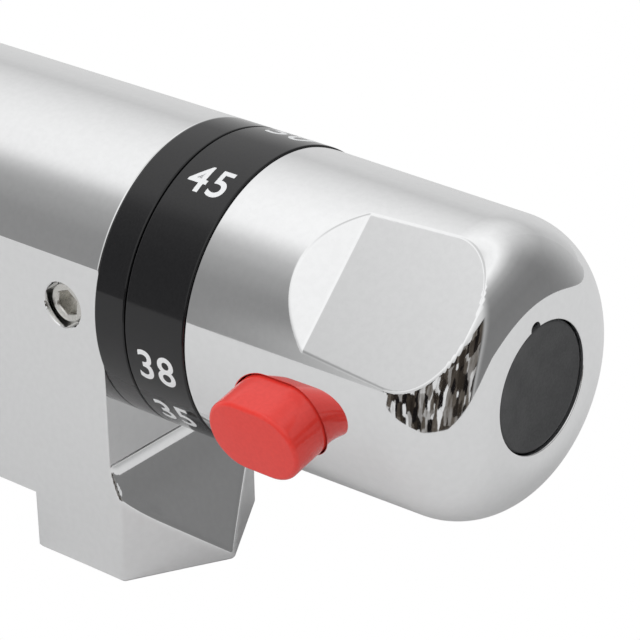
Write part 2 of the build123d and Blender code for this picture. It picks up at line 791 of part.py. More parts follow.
def make_overload_spring():
    """The stiff spring that gives way when the element expands too far."""
    low = piston_tip() + seat_gap + thrust_cap_height + seat_gap
    high = carrier_low() + carrier_length - carrier_floor - seat_gap
    return spring(overload_spring_radius, overload_spring_wire, low, high, overload_spring_turns)


def make_return_spring():
    """The spring that pushes the shuttle back against the element."""
    low = -cartridge_depth + running_gap + sleeve_end_wall + seat_gap
    high = shuttle_low() + shuttle_web_offset - seat_gap
    return spring(return_spring_radius + 1.5, return_spring_wire, low, high, return_spring_turns)


def make_temperature_spindle():
    """The spindle: a threaded cup on the carrier's stud, a stem, a waist and the splined end."""
    top = -spindle_shoulder - running_gap
    low = top - spindle_flange_height
    cup = carrier_stud_radius + running_gap
    cup_floor = carrier_low() + carrier_length + carrier_stud_length + 1.2
    waist = head_nose_length + 1.0
    spline_low = spindle_end - spline_length
    stem = turned((cup, low), (head_bore_radius - running_gap, low), (head_bore_radius - running_gap, top),
                  (spindle_stem_radius, top), (spindle_stem_radius, waist), (spindle_waist_radius, waist + 2),
                  (spindle_waist_radius, spindle_end - 1), (0, spindle_end - 1), (0, cup_floor), (cup, cup_floor))
    stem += Pos(0, 0, spline_low) * extrude(splined(spindle_waist_radius + spline_tooth), spline_length)
    return stem - screw_hole()


def screw_hole():
    """The blind hole for the handle's screw in a spindle's end."""
    depth = handle_end - cap_recess - handle_screw_length - 1
    return rod(handle_screw_radius + running_gap, depth, spindle_end + 1)


def make_headwork_housing():
    """The flow headwork's brass housing: thread, hexagon, nose and a sleeve with windows."""
    end = -headwork_depth + running_gap
    outer = headwork_radius - running_gap
    stem = flow_stem_radius + running_gap
    bore_end = -headwork_depth + headwork_chamber
    house = turned((headwork_bore_radius, end), (headwork_sleeve_radius, end),
                   (headwork_sleeve_radius, -headwork_thread_length), (outer, -headwork_thread_length), (outer, 0),
                   (headwork_nose_radius, 0), (headwork_nose_radius, headwork_flange_height + headwork_nose_length),
                   (stem, headwork_flange_height + headwork_nose_length), (stem, bore_end),
                   (headwork_bore_radius, bore_end))
    hexagon = RegularPolygon(headwork_flats / 2, 6, major_radius=False) - Circle(headwork_nose_radius - 0.5)
    house += Pos(0, 0, running_gap / 5) * extrude(hexagon, headwork_flange_height)
    window = block((0, -flow_window_width / 2, -flow_window_start),
                   (headwork_sleeve_radius + 1, flow_window_width / 2, -flow_window_start + flow_window_length))
    window = Rot(0, 0, 180) * window
    return house - window


def headwork_stack():
    """The lower faces of the seal ring, the fixed disc, the turning disc and the driver."""
    seal = -headwork_depth + 2 * running_gap
    fixed = seal + seal_ring_height
    turning = fixed + disc_height + running_gap / 5
    driver = turning + disc_height + running_gap / 5
    return seal, fixed + running_gap / 5, turning, driver


def make_headwork_seal():
    """The rubber ring that seals the fixed disc to the body."""
    low = headwork_stack()[0]
    return tube(headwork_bore_radius - running_gap, seal_ring_hole, low, low + seal_ring_height)


def disc_ports():
    """The two openings of a ceramic disc."""
    first = sector(disc_port_inner, disc_port_outer, -40, 40)
    return first + Rot(0, 0, 180) * first


def make_fixed_disc():
    """The ceramic disc that stays still, with two openings."""
    low = headwork_stack()[1]
    disc = Circle(headwork_bore_radius - running_gap) - disc_ports()
    return Pos(0, 0, low) * extrude(disc, disc_height - running_gap / 5)


def make_turning_disc():
    """The ceramic disc that turns with the spindle, its openings a quarter turn off."""
    low = headwork_stack()[2]
    disc = Circle(headwork_bore_radius - running_gap) - Rot(0, 0, 90) * disc_ports()
    return Pos(0, 0, low) * extrude(disc, disc_height - running_gap / 5)


def make_flow_spindle():
    """The flow spindle: a driver that grips the turning disc, a stem and the splined end."""
    low = headwork_stack()[3]
    driver = tube(headwork_bore_radius - 2 * running_gap, 0.0, low, low + driver_height)
    tang = disc_port_outer - 0.8
    driver += block((-driver_tang_width / 2 - 1, 3.2, low - driver_tang_height),
                    (driver_tang_width / 2 + 1, tang, low + 0.5))
    driver += block((-driver_tang_width / 2 - 1, -tang, low - driver_tang_height),
                    (driver_tang_width / 2 + 1, -3.2, low + 0.5))
    driver += rod(flow_stem_radius - spline_tooth, low, spindle_end - 1)
    driver += rod(flow_stem_radius, low, headwork_flange_height + headwork_nose_length + 1)
    driver -= tube(flow_stem_radius + 1, flow_stem_radius - 1.0, -stem_seal_position - 1, -stem_seal_position + 1)
    spline_low = spindle_end - spline_length
    driver += Pos(0, 0, spline_low) * extrude(splined(flow_stem_radius), spline_length)
    return driver - screw_hole()


def make_stem_seal():
    """The small seal ring in the flow spindle's groove."""
    low = -stem_seal_position - 0.9
    return tube(flow_stem_radius + running_gap / 2, flow_stem_radius - 0.95, low, low + 1.8)


parts = {
    "valve_body": make_valve_body(),
    "outlet_nipple": make_outlet_nipple(),
    "outlet_seal": make_outlet_seal(),
    "temperature_lock_screw": make_lock_screw(right_end, 0, cartridge_radius + running_gap),
    "flow_lock_screw": make_lock_screw(left_end, 180, headwork_radius + running_gap),
    "temperature_fixed_ring": right_end * make_fixed_ring(),
    "temperature_dial": right_end * make_dial_ring(True),
    "temperature_handle": right_end * make_temperature_handle(),
    "temperature_hub": right_end * make_hub(spindle_waist_radius + spline_tooth),
    "temperature_handle_screw": right_end * make_handle_screw(),
    "temperature_cap": right_end * make_cap(),
    "safety_button": right_end * make_safety_button(),
    "button_spring": right_end * make_button_spring(),
    "stop_ring": right_end * make_stop_ring(),
    "cartridge_nut": right_end * make_cartridge_nut(),
    "cartridge_head": right_end * make_cartridge_head(),
    "cartridge_sleeve": right_end * make_cartridge_sleeve(),
    "cartridge_seals": right_end * make_cartridge_seals(),
    "shuttle": right_end * make_shuttle(),
    "wax_element": right_end * make_wax_element(),
    "thrust_cap": right_end * make_thrust_cap(),
    "spring_carrier": right_end * make_spring_carrier(),
    "overload_spring": right_end * make_overload_spring(),
    "return_spring": right_end * make_return_spring(),
    "temperature_spindle": right_end * make_temperature_spindle(),
    "flow_fixed_ring": left_end * make_fixed_ring(),
    "flow_ring": left_end * make_dial_ring(False),
    "flow_handle": left_end * handle_shell(),
    "flow_hub": left_end * make_hub(flow_stem_radius),
    "flow_handle_screw": left_end * make_handle_screw(),
    "flow_cap": left_end * make_cap(),
    "headwork_housing": left_end * make_headwork_housing(),
    "headwork_seal": left_end * make_headwork_seal(),
    "fixed_disc": left_end * make_fixed_disc(),
    "turning_disc": left_end * make_turning_disc(),
    "flow_spindle": left_end * make_flow_spindle(),
    "stem_seal": left_end * make_stem_seal(),
}
for name, side in (("cold", 1), ("hot", -1)):
    parts[name + "_inlet_filter"] = make_filter(side)
    parts[name + "_check_housing"] = make_check_housing(side)
    parts[name + "_check_poppet"] = make_poppet(side)
    parts[name + "_check_spring"] = make_check_spring(side)

os.makedirs("parts", exist_ok=True)
for name, shape in parts.items():
    export_step(shape, "parts/" + name + ".step")
    print(name, round(shape.volume, 1))
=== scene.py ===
import math
import bmesh
import bpy
import numpy as np
from mathutils import Matrix, Vector
from mathutils.geometry import delaunay_2d_cdt


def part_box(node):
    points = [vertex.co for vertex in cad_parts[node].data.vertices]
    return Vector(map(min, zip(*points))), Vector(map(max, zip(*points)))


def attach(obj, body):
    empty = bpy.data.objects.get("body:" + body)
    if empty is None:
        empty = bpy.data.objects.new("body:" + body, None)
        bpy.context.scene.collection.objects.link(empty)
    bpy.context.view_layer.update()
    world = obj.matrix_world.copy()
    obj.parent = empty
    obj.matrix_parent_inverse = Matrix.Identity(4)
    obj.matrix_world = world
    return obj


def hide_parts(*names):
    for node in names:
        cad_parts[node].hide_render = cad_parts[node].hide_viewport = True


# Thermostatic bar mixer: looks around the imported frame.
# Shapes are worked out in millimetres and put into the meshes in metres.
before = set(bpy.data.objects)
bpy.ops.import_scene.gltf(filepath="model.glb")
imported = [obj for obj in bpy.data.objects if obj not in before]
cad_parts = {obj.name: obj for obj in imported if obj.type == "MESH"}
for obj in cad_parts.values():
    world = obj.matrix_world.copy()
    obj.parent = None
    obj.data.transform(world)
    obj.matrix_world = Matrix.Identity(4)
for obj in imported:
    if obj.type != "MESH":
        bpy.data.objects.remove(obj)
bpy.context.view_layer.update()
print("frame loaded:", len(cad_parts), "nodes")


# Measures taken from the frame

def nodeBox(node):
    return [np.array(corner) * 1000 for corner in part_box(node)]


ringLow, ringHigh = nodeBox("temperature_fixed_ring")
handleLow, handleHigh = nodeBox("temperature_handle")
restZ = nodeBox("valve_body")[0][2]
axisY = (ringLow[1] + ringHigh[1]) / 2
axisZ = (ringLow[2] + ringHigh[2]) / 2
barRadius = (ringHigh[1] - ringLow[1]) / 2
bodyEnd = ringLow[0]
ringWidth = ringHigh[0] - bodyEnd
dialStart = nodeBox("temperature_dial")[0][0] - bodyEnd
handleStart = handleLow[0] - bodyEnd
handleEnd = handleHigh[0] - bodyEnd
xWay, yWay, zWay = np.eye(3)


def endSpace(side):
    # (outwards, front, up) about the bar's axis to model space; the flow end is half a turn round
    def place(local):
        out, front, up = np.moveaxis(local, -1, 0)
        return np.stack([side * (bodyEnd + out), axisY - side * front, axisZ + up], -1)
    return place


rightEnd, leftEnd = endSpace(1), endSpace(-1)


class Settings(dict):
    # A piece's settings, which also read as attributes
    __getattr__ = dict.__getitem__


def direct(local):
    return local


def linked(name, data):
    # A new object in the scene
    piece = bpy.data.objects.new(name, data)
    bpy.context.scene.collection.objects.link(piece)
    return piece


# Mesh building

def unit(vectors):
    return vectors / np.maximum(np.linalg.norm(vectors, axis=-1, keepdims=True), 1e-12)


def triangulate(loops, extra=None):
    # Constrained triangles of a flat region; the first loop is its edge, the others are holes
    coords = np.concatenate(list(loops) + ([extra] if extra is not None else []))
    edges, first = [], 0
    for loop in loops:
        count = len(loop)
        edges += [(first + k, first + (k + 1) % count) for k in range(count)]
        first += count
    found = delaunay_2d_cdt([Vector(p) for p in coords.tolist()], edges, [], 0, 1e-7)
    points = np.array([v[:] for v in found[0]])
    faces = np.array([list(f) for f in found[2]])
    corner = points[faces]
    centre = corner.mean(1)
    inside = np.zeros(len(faces), bool)
    for loop in loops:
        a, b = loop, np.roll(loop, -1, 0)
        crossing = (a[None, :, 1] > centre[:, None, 1]) != (b[None, :, 1] > centre[:, None, 1])
        rise = np.where(np.abs(b[:, 1] - a[:, 1]) < 1e-12, 1e-12, b[:, 1] - a[:, 1])
        slope = (b[:, 0] - a[:, 0]) / rise
        at = a[None, :, 0] + (centre[:, None, 1] - a[None, :, 1]) * slope[None, :]
        inside ^= (crossing & (centre[:, None, 0] < at)).sum(1) % 2 == 1
    edgeA, edgeB = corner[:, 1] - corner[:, 0], corner[:, 2] - corner[:, 0]
    area = np.abs(edgeA[:, 0] * edgeB[:, 1] - edgeA[:, 1] * edgeB[:, 0])
    return points, faces[inside & (area > 1e-9)]


class Shell:
    # Patches of points with their outward normals, welded into one mesh with those normals

    def __init__(self, place=direct):
        self.place = place
        self.points, self.normals, self.faces = [], [], []
        self.total = 0

    def add(self, points, normals, faces):
        points = np.asarray(points, float).reshape(-1, 3)
        normals = np.asarray(normals, float).reshape(-1, 3)
        origin = self.place(np.zeros(3))
        points, normals = self.place(points), unit(self.place(normals) - origin)
        faces = np.array(faces)
        corner = points[faces]
        facing = np.cross(corner[:, 1] - corner[:, 0], corner[:, 2] - corner[:, 0])
        if faces.shape[1] == 4:
            facing = facing + np.cross(corner[:, 2] - corner[:, 0], corner[:, 3] - corner[:, 0])
        turn = (facing * normals[faces].mean(1)).sum(1) < 0
        faces[turn] = faces[turn][:, ::-1]
        self.points.append(points)
        self.normals.append(normals)
        self.faces.append(faces + self.total)
        self.total += len(points)

    def grid(self, points, normals, wrap=False, keep=None):
        # Quads between neighbouring points; wrap joins the last row to the first, keep leaves quads out
        rows, columns = points.shape[:2]
        index = np.arange(rows * columns).reshape(rows, columns)
        if wrap:
            index = np.vstack([index, index[:1]])
        quads = np.stack([index[:-1, :-1], index[1:, :-1], index[1:, 1:], index[:-1, 1:]], -1)
        quads = quads[keep] if keep is not None else quads.reshape(-1, 4)
        self.add(points, np.broadcast_to(normals, points.shape), quads)

    def band(self, first, last, normals):
        # Quads between two closed loops with as many points
        self.grid(np.stack([first, last], 1), normals, wrap=True)

    def flat(self, loops, normal):
        # A flat face between loops of space points
        normal = unit(np.asarray(normal, float))
        side = unit(np.cross(normal, (0.3, 0.5, 0.8)))
        other = np.cross(normal, side)
        centre = loops[0][0]
        drawn = [np.stack([(loop - centre) @ side, (loop - centre) @ other], -1) for loop in loops]
        points, faces = triangulate(drawn)
        space = centre + points[:, :1] * side + points[:, 1:] * other
        self.add(space, np.broadcast_to(normal, space.shape), faces)

    def build(self, name, slot, body, *nodes):
        points = np.concatenate(self.points)
        normals = np.concatenate(self.normals)
        keys = np.round(points, 4)
        _, first, where = np.unique(keys, axis=0, return_index=True, return_inverse=True)
        where = where.reshape(-1)
        polygons, loopNormals = [], []
        for block in self.faces:
            welded = where[block]
            same = welded == np.roll(welded, -1, 1)
            for drop in np.unique(same.sum(1)):
                rows = same.sum(1) == drop
                if block.shape[1] - drop < 3:
                    continue
                stay = ~same[rows]
                shape = (rows.sum(), block.shape[1] - drop)
                polygons.append(welded[rows][stay].reshape(shape))
                loopNormals.append(normals[block[rows][stay]].reshape(-1, 3))
        mesh = bpy.data.meshes.new(name)
        mesh.from_pydata((points[first] / 1000).tolist(), [], [f for p in polygons for f in p.tolist()])
        mesh.shade_smooth()
        mesh.normals_split_custom_set(np.concatenate(loopNormals).tolist())
        piece = linked(name, mesh)
        mesh.materials.append(finishes[slot])
        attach(piece, body)
        if nodes:
            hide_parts(*nodes)
        print("piece", name, len(mesh.vertices), "points")


def outline(corners, radii, closed=True, steps=6):
    # Straight runs and corner arcs of a polygon walked anticlockwise, each with its outward normals;
    # an arc is centre - radius * left, where left turns from one side's left to the next one's
    corners = [np.array(c, float) for c in corners]
    count = len(corners)
    pieces, starts, ends = [], {}, {}
    for k, corner in enumerate(corners):
        starts[k], ends[k] = corner, corner
        if radii[k] <= 0 or (not closed and k in (0, count - 1)):
            continue
        before = unit(corner - corners[k - 1])
        after = unit(corners[(k + 1) % count] - corner)
        turn = math.atan2(before[0] * after[1] - before[1] * after[0], before @ after)
        reach = radii[k] * math.tan(abs(turn) / 2)
        starts[k], ends[k] = corner - before * reach, corner + after * reach
        side = math.copysign(1, turn)
        centre = starts[k] + side * radii[k] * np.array([-before[1], before[0]])
        angle = math.atan2(before[1], before[0]) + np.linspace(0, turn, steps + 1)
        left = np.stack([-np.sin(angle), np.cos(angle)], -1)
        pieces.append((centre - side * radii[k] * left, -left))
    for k in range(count if closed else count - 1):
        a, b = ends[k], starts[(k + 1) % count]
        if np.linalg.norm(b - a) > 1e-9:
            run = unit(b - a)
            pieces.append((np.stack([a, b]), np.tile([run[1], -run[0]], (2, 1))))
    return pieces


def carried(shell, pieces, base, heading):
    # A profile of (distance, height) carried round: (height, base + heading * distance)
    for drawn, normal in pieces:
        across = base[:, None, :] + heading[:, None, :] * drawn[None, :, :1]
        height = np.broadcast_to(drawn[:, 1:], across.shape[:2] + (1,))
        facing = np.broadcast_to(normal[:, 1:], height.shape)
        sideways = heading[:, None, :] * normal[None, :, :1]
        normals = np.concatenate([facing, sideways], -1)
        shell.grid(np.concatenate([height, across], -1), normals, wrap=True)


def compass(degrees):
    # Headings for angles counted from the front upwards
    angle = np.radians(degrees)
    return np.stack([np.cos(angle), np.sin(angle)], -1)


def turned(shell, corners, radii, heading, closed=True):
    # A profile of (radius, height) turned about the axis
    carried(shell, outline(corners, radii, closed), np.zeros_like(heading), heading)


def domed(shell, reach, top, rise, count, base, heading):
    # A face that rises or sinks as the square of the distance: top + rise * (1 - share ** 2)
    share = np.linspace(1, 0, count)
    drawn = np.stack([reach * share, top + rise * (1 - share ** 2)], -1)
    normal = np.stack([2 * rise * share / reach, np.ones_like(share)], -1)
    carried(shell, [(drawn, normal)], base, heading)


def aboutBar(along, radius, angle):
    # Places at a radius and an angle from the front: (along, radius * cos, radius * sin)
    return np.stack(np.broadcast_arrays(along, radius * np.cos(angle), radius * np.sin(angle)), -1)


def upright(outwards, radius, height):
    # Places about an upright axis: outwards * radius + up * height
    radius, height = np.broadcast_arrays(radius, height)
    return outwards * radius[..., None] + zWay * height[..., None]


def gridNormals(points, towards):
    # Normals of a closed grid from the differences between neighbours, on the side of a given direction
    around = np.roll(points, -1, 0) - np.roll(points, 1, 0)
    normals = unit(np.cross(around, np.gradient(points, axis=1)))
    sign = np.sign((normals * towards).sum(-1, keepdims=True))
    return normals * np.where(sign == 0, 1, sign)


def threadWave(angle, height, pitch):
    # Rounded thread: half a cosine ridge that climbs one pitch in a turn
    return 0.5 - 0.5 * np.cos(2 * math.pi * height / pitch - angle)


def softMin(a, b, k):
    # The smaller of two, with a round of width k where they meet
    h = np.clip(k - np.abs(a - b), 0, None) / k
    return np.minimum(a, b) - h * h * k / 4


def softMax(a, b, k):
    return -softMin(-a, -b, k)


def planeRadius(distance, slant, least):
    # The radius at which a plane stands: its distance over the cosine, or far off beside the plane
    return np.where(slant > least, distance / np.maximum(slant, least), 1e3)


# Shader maths

class Wire:
    # A node's socket that takes part in sums: each operator adds its Math node

    def __init__(self, graph, socket):
        self.graph, self.socket = graph, socket

    def maths(self, operation, *values):
        return self.graph.add("Math", dict(enumerate([self, *values])), operation=operation)

    def __add__(self, other):
        return self.maths("ADD", other)

    def __sub__(self, other):
        return self.maths("SUBTRACT", other)

    def __mul__(self, other):
        return self.maths("MULTIPLY", other)

    def __truediv__(self, other):
        return self.maths("DIVIDE", other)

    def __neg__(self):
        return self.maths("MULTIPLY", -1.0)

    def step(self, low, high, first=0.0, last=1.0):
        # A soft step from first to last between two values
        return self.graph.add("MapRange", {0: self, 1: low, 2: high, 3: first, 4: last},
                              interpolation_type="SMOOTHSTEP")


class Graph:
    # A material's or the world's nodes

    def __init__(self, tree):
        self.tree = tree
        tree.nodes.clear()

    def add(self, kind, sockets=None, output=0, **settings):
        # A shader node by its kind, with values or wires for its inputs
        node = self.tree.nodes.new("ShaderNode" + kind)
        for name, value in settings.items():
            setattr(node, name, value)
        for name, value in (sockets or {}).items():
            entry = node.inputs[name]
            if isinstance(value, Wire):
                self.tree.links.new(value.socket, entry)
            elif isinstance(value, tuple) and len(value) == 3 and len(entry.default_value) == 4:
                entry.default_value = (*value, 1)
            else:
                entry.default_value = value
        return Wire(self, node.outputs[output]) if len(node.outputs) else None

    def ramp(self, factor, *stops):
        # A colour ramp through stops of (place, grey or colour)
        shade = self.add("ValToRGB", {0: factor})
        elements = shade.socket.node.color_ramp.elements
        while len(elements) < len(stops):
            elements.new(0.5)
        for element, (place, colour) in zip(elements, stops):
            element.position = place
            element.color = (*colour, 1) if isinstance(colour, tuple) else (colour, colour, colour, 1)
        return shade

    def blend(self, factor, first, second):
        return self.add("Mix", {0: factor, 6: first, 7: second}, 2, data_type="RGBA")

    def noise(self, scale, detail, stretch):
        moved = self.add("Mapping", {"Vector": self.add("TexCoord", output=3), "Scale": stretch})
        return self.add("TexNoise", {"Vector": moved, "Scale": scale, "Detail": detail})


def finish(name, shades, roughness, broad, fine, metallic=0.0, bump=0, stretch=(1, 1, 1)):
    # A finish: base colour varied by fine noise, roughness varied by broad noise, and a slight bump
    material = bpy.data.materials.new("finish_" + name)
    material.use_nodes = True
    graph = Graph(material.node_tree)
    broadNoise = graph.noise(broad, 3.0, stretch)
    fineNoise = graph.noise(fine, 4.0, stretch)
    sockets = {"Base Color": graph.blend(fineNoise.step(0.3, 0.7), *shades), "Metallic": metallic,
               "Roughness": broadNoise.step(0.3, 0.7, *roughness), "IOR": 1.5}
    if bump:
        relief = {"Height": fineNoise * bump, "Strength": 1.0, "Distance": 0.001}
        sockets["Normal"] = graph.add("Bump", relief)
    graph.add("OutputMaterial", {0: graph.add("BsdfPrincipled", sockets)})
    return material


finishSettings = {
    "chrome": dict(shades=((0.90, 0.905, 0.91), (0.925, 0.93, 0.935)), metallic=1.0,
                   roughness=(0.035, 0.06), broad=60, fine=900),
    "steel": dict(shades=((0.66, 0.65, 0.62), (0.74, 0.73, 0.70)), metallic=1.0,
                  roughness=(0.2, 0.32), broad=400, fine=2500, bump=0.004),
    "black_gloss": dict(shades=((0.006, 0.006, 0.007), (0.010, 0.010, 0.011)),
                        roughness=(0.06, 0.10), broad=150, fine=3000, bump=0.0008),
    "black_satin": dict(shades=((0.030, 0.031, 0.033), (0.042, 0.043, 0.045)),
                        roughness=(0.42, 0.52), broad=220, fine=2600, bump=0.012),
    "red_gloss": dict(shades=((0.78, 0.045, 0.034), (0.82, 0.050, 0.038)),
                      roughness=(0.10, 0.15), broad=120, fine=1500, bump=0.001),
    "white_print": dict(shades=((0.80, 0.81, 0.82), (0.86, 0.87, 0.88)),
                        roughness=(0.4, 0.5), broad=500, fine=4000),
    "seal_rubber": dict(shades=((0.012, 0.012, 0.012), (0.022, 0.022, 0.022)),
                        roughness=(0.55, 0.7), broad=200, fine=2200, bump=0.015),
    "brass": dict(shades=((0.60, 0.42, 0.17), (0.68, 0.49, 0.22)), metallic=1.0,
                  roughness=(0.22, 0.36), broad=300, fine=2400, stretch=(6, 1, 1), bump=0.006),
    "inner_plastic": dict(shades=((0.72, 0.72, 0.69), (0.78, 0.78, 0.75)),
                          roughness=(0.4, 0.5), broad=200, fine=1800, bump=0.006),
    "valve_plastic": dict(shades=((0.66, 0.68, 0.70), (0.72, 0.74, 0.76)),
                          roughness=(0.35, 0.45), broad=260, fine=2000, bump=0.005),
    "ceramic": dict(shades=((0.80, 0.79, 0.76), (0.84, 0.83, 0.80)),
                    roughness=(0.18, 0.28), broad=260, fine=2600),
}
finishes = {name: finish(name, **settings) for name, settings in finishSettings.items()}
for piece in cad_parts.values():
    piece.data.materials[0] = finishes[piece.data.materials[0].name.split(".")[0]]
print("finishes:", len(finishes))


# Valve body: bar with a flat front, block below, bored bosses

body = Settings(
    flatDistance=23.5, blockDrop=37.3, rearDistance=9.7,
    creaseRadius=0.4, rearFillet=1.0, endRadius=0.25,
    rightBore=(17.05, 52.0), leftBore=(12.05, 34.0),
    inlet=(75.0, 0.0), bossRadius=16.6, bossEdge=0.35, bossFoot=0.3, bossInset=0.02,
    webTop=21.0, webReach=5.0, webEdge=0.9, webProud=0.03, webTuck=0.3, webRows=56,
    threadRadius=12.06, threadDepth=8.3, threadPitch=1.814, threadCut=1.0,
    threadRow=0.15, threadRunIn=0.6, threadRunOut=1.5,
    seatRadius=11.0, seatDepth=1.2, checkRadius=6.1, checkDepth=11.3,
    screwInset=8.3, screwRadius=3.9, screwBevel=0.15, screwDepth=6.0, screwRing=1.5,
    outletRadius=10.45, outletDepth=6.6, outletBore=6.5, outletEnd=11.6,
)


def arcPiece(centre, radius, start, stop, steps, hollow=False):
    # Arc points centre + radius * (cos, sin), with normals outwards, or inwards for a hollow
    heading = compass(np.linspace(start, stop, steps + 1))
    return np.array(centre) + radius * heading, -heading if hollow else heading


def linePiece(start, stop, normal):
    return np.array([start, stop], float), np.tile(np.array(normal, float), (2, 1))


def barOutline():
    # The section seen from the right, (front, up) from the bar's axis: crease arc, bar arc,
    # hollow arc into the block's back, then the block's three flat sides
    s = body
    flat, crease, drop, rear = s.flatDistance, s.creaseRadius, s.blockDrop, -s.rearDistance
    creaseUp = math.sqrt((barRadius - crease) ** 2 - (flat - crease) ** 2)
    creaseAngle = math.degrees(math.atan2(creaseUp, flat - crease))
    fillet = s.rearFillet
    filletDown = math.sqrt((barRadius + fillet) ** 2 - (fillet - rear) ** 2)
    filletAngle = math.degrees(math.atan2(filletDown, fillet - rear))
    curved = [
        arcPiece((flat - crease, creaseUp), crease, 0, creaseAngle, 5),
        arcPiece((0, 0), barRadius, creaseAngle, 180 + filletAngle, 220),
        arcPiece((rear - fillet, -filletDown), fillet, filletAngle, 0, 8, hollow=True),
    ]
    flats = [
        linePiece((rear, -filletDown), (rear, -drop), (-1, 0)),
        linePiece((rear, -drop), (flat, -drop), (0, -1)),
        linePiece((flat, -drop), (flat, creaseUp), (1, 0)),
    ]
    return curved, flats


def barSpace(x, drawn):
    # Section points set at a place along the bar
    x = np.broadcast_to(x, drawn.shape[:-1])
    return np.stack([x, axisY - drawn[..., 0], axisZ + drawn[..., 1]], -1)


def sectionNormal(normals):
    return np.stack([np.zeros(normals.shape[:-1]), -normals[..., 0], normals[..., 1]], -1)


def circleLoop(centre, first, second, radius, count=96):
    heading = compass(np.arange(count) * 360 / count)
    return (np.array(centre) + radius * heading[:, :1] * np.array(first)
            + radius * heading[:, 1:] * np.array(second))


def pocket(shell, centre, inwards, first, second, steps, count=96):
    # A round hole sunk along inwards: steps of (radius, depth), closed at its end
    radial = circleLoop((0, 0, 0), first, second, 1.0, count)
    stops = steps + [(0.0, steps[-1][1])]
    loops = [centre + radial * radius + inwards * depth for radius, depth in stops]
    for low, high, (wider, deeper) in zip(loops, loops[1:], np.diff(stops, axis=0)):
        shell.band(low, high, (inwards * wider - radial * deeper)[:, None, :])


def makeBody():
    s = body
    shell = Shell()
    curved, flats = barOutline()
    inner = bodyEnd - s.endRadius
    ends = np.array([-inner, inner])
    for drawn, normals in curved:
        points = barSpace(ends[:, None], np.broadcast_to(drawn, (2,) + drawn.shape))
        shell.grid(points, sectionNormal(normals)[None])
    # the small round at each end: offset by the corner's mitre, normal turning from the side to the end
    whole = curved + flats
    keys = np.round(np.concatenate([drawn for drawn, normals in whole]), 5)
    facing = np.concatenate([normals for drawn, normals in whole])
    mitre = facing.copy()
    for k, key in enumerate(keys):
        shared = facing[(keys == key).all(1)]
        if len(shared) > 1:
            mitre[k] = shared.sum(0) / (1 + shared[0] @ shared[-1])
    turn = np.radians(np.linspace(0, 90, 6))
    inset = s.endRadius * (1 - np.cos(turn))[:, None]
    for side, (boreRadius, boreDepth) in ((1, s.rightBore), (-1, s.leftBore)):
        at, rims = 0, []
        for drawn, normals in whole:
            part = mitre[at:at + len(drawn), None]
            at += len(drawn)
            x = side * (inner + s.endRadius * np.sin(turn))
            points = barSpace(x, drawn[:, None] - part * inset)
            around = sectionNormal(normals)[:, None] * np.cos(turn)[:, None]
            shell.grid(points, around + side * xWay * np.sin(turn)[:, None])
            rims.append(points[:-1, -1] if len(drawn) > 2 else points[:1, -1])
        mouth = np.array([side * bodyEnd, axisY, axisZ])
        shell.flat([np.concatenate(rims), circleLoop(mouth, yWay, zWay, boreRadius, 144)], side * xWay)
        pocket(shell, mouth, -side * xWay, yWay, zWay, [(boreRadius, 0), (boreRadius, boreDepth)], 144)
    # the flats, with their holes
    (rearTop, rearLow), (_, lowFront), (_, frontTop) = [drawn for drawn, normals in flats]

    def sheet(a, b):
        return np.array([barSpace(x, drawn) for x, drawn in zip(ends[[0, 1, 1, 0]], (a, a, b, b))])

    shell.flat([sheet(rearTop, rearLow)], yWay)
    outletMouth = np.array([0, 0, axisZ - s.blockDrop])
    checkMouths = [outletMouth + [side * s.inlet[0], s.inlet[1], 0] for side in (1, -1)]
    holes = [circleLoop(mouth, xWay, yWay, s.checkRadius) for mouth in checkMouths]
    holes.append(circleLoop(outletMouth, xWay, yWay, s.outletRadius))
    shell.flat([sheet(rearLow, lowFront)] + holes, -zWay)
    for mouth in checkMouths:
        pocket(shell, mouth, zWay, xWay, yWay, [(s.checkRadius, 0), (s.checkRadius, s.checkDepth)])
    pocket(shell, outletMouth, zWay, xWay, yWay,
           [(s.outletRadius, 0), (s.outletRadius, s.outletDepth),
            (s.outletBore, s.outletDepth), (s.outletBore, s.outletEnd)])
    # a ring of its own around each screw's mouth keeps the long faces of the front off the bevel
    frontY = axisY - s.flatDistance
    screwMouths = [np.array([side * (bodyEnd - s.screwInset), frontY, axisZ]) for side in (1, -1)]
    wide = s.screwRadius + s.screwBevel
    outer = [circleLoop(mouth, xWay, zWay, wide + s.screwRing) for mouth in screwMouths]
    shell.flat([sheet(lowFront, frontTop)] + outer, -yWay)
    for mouth, loop in zip(screwMouths, outer):
        shell.band(circleLoop(mouth, xWay, zWay, wide), loop, -yWay)
        pocket(shell, mouth, yWay, xWay, zWay,
               [(wide, 0), (s.screwRadius, s.screwBevel), (s.screwRadius, s.screwDepth)])
    makeBoss(shell, 1)
    makeBoss(shell, -1)
    shell.build("casting", "chrome", "valve", "valve_body")


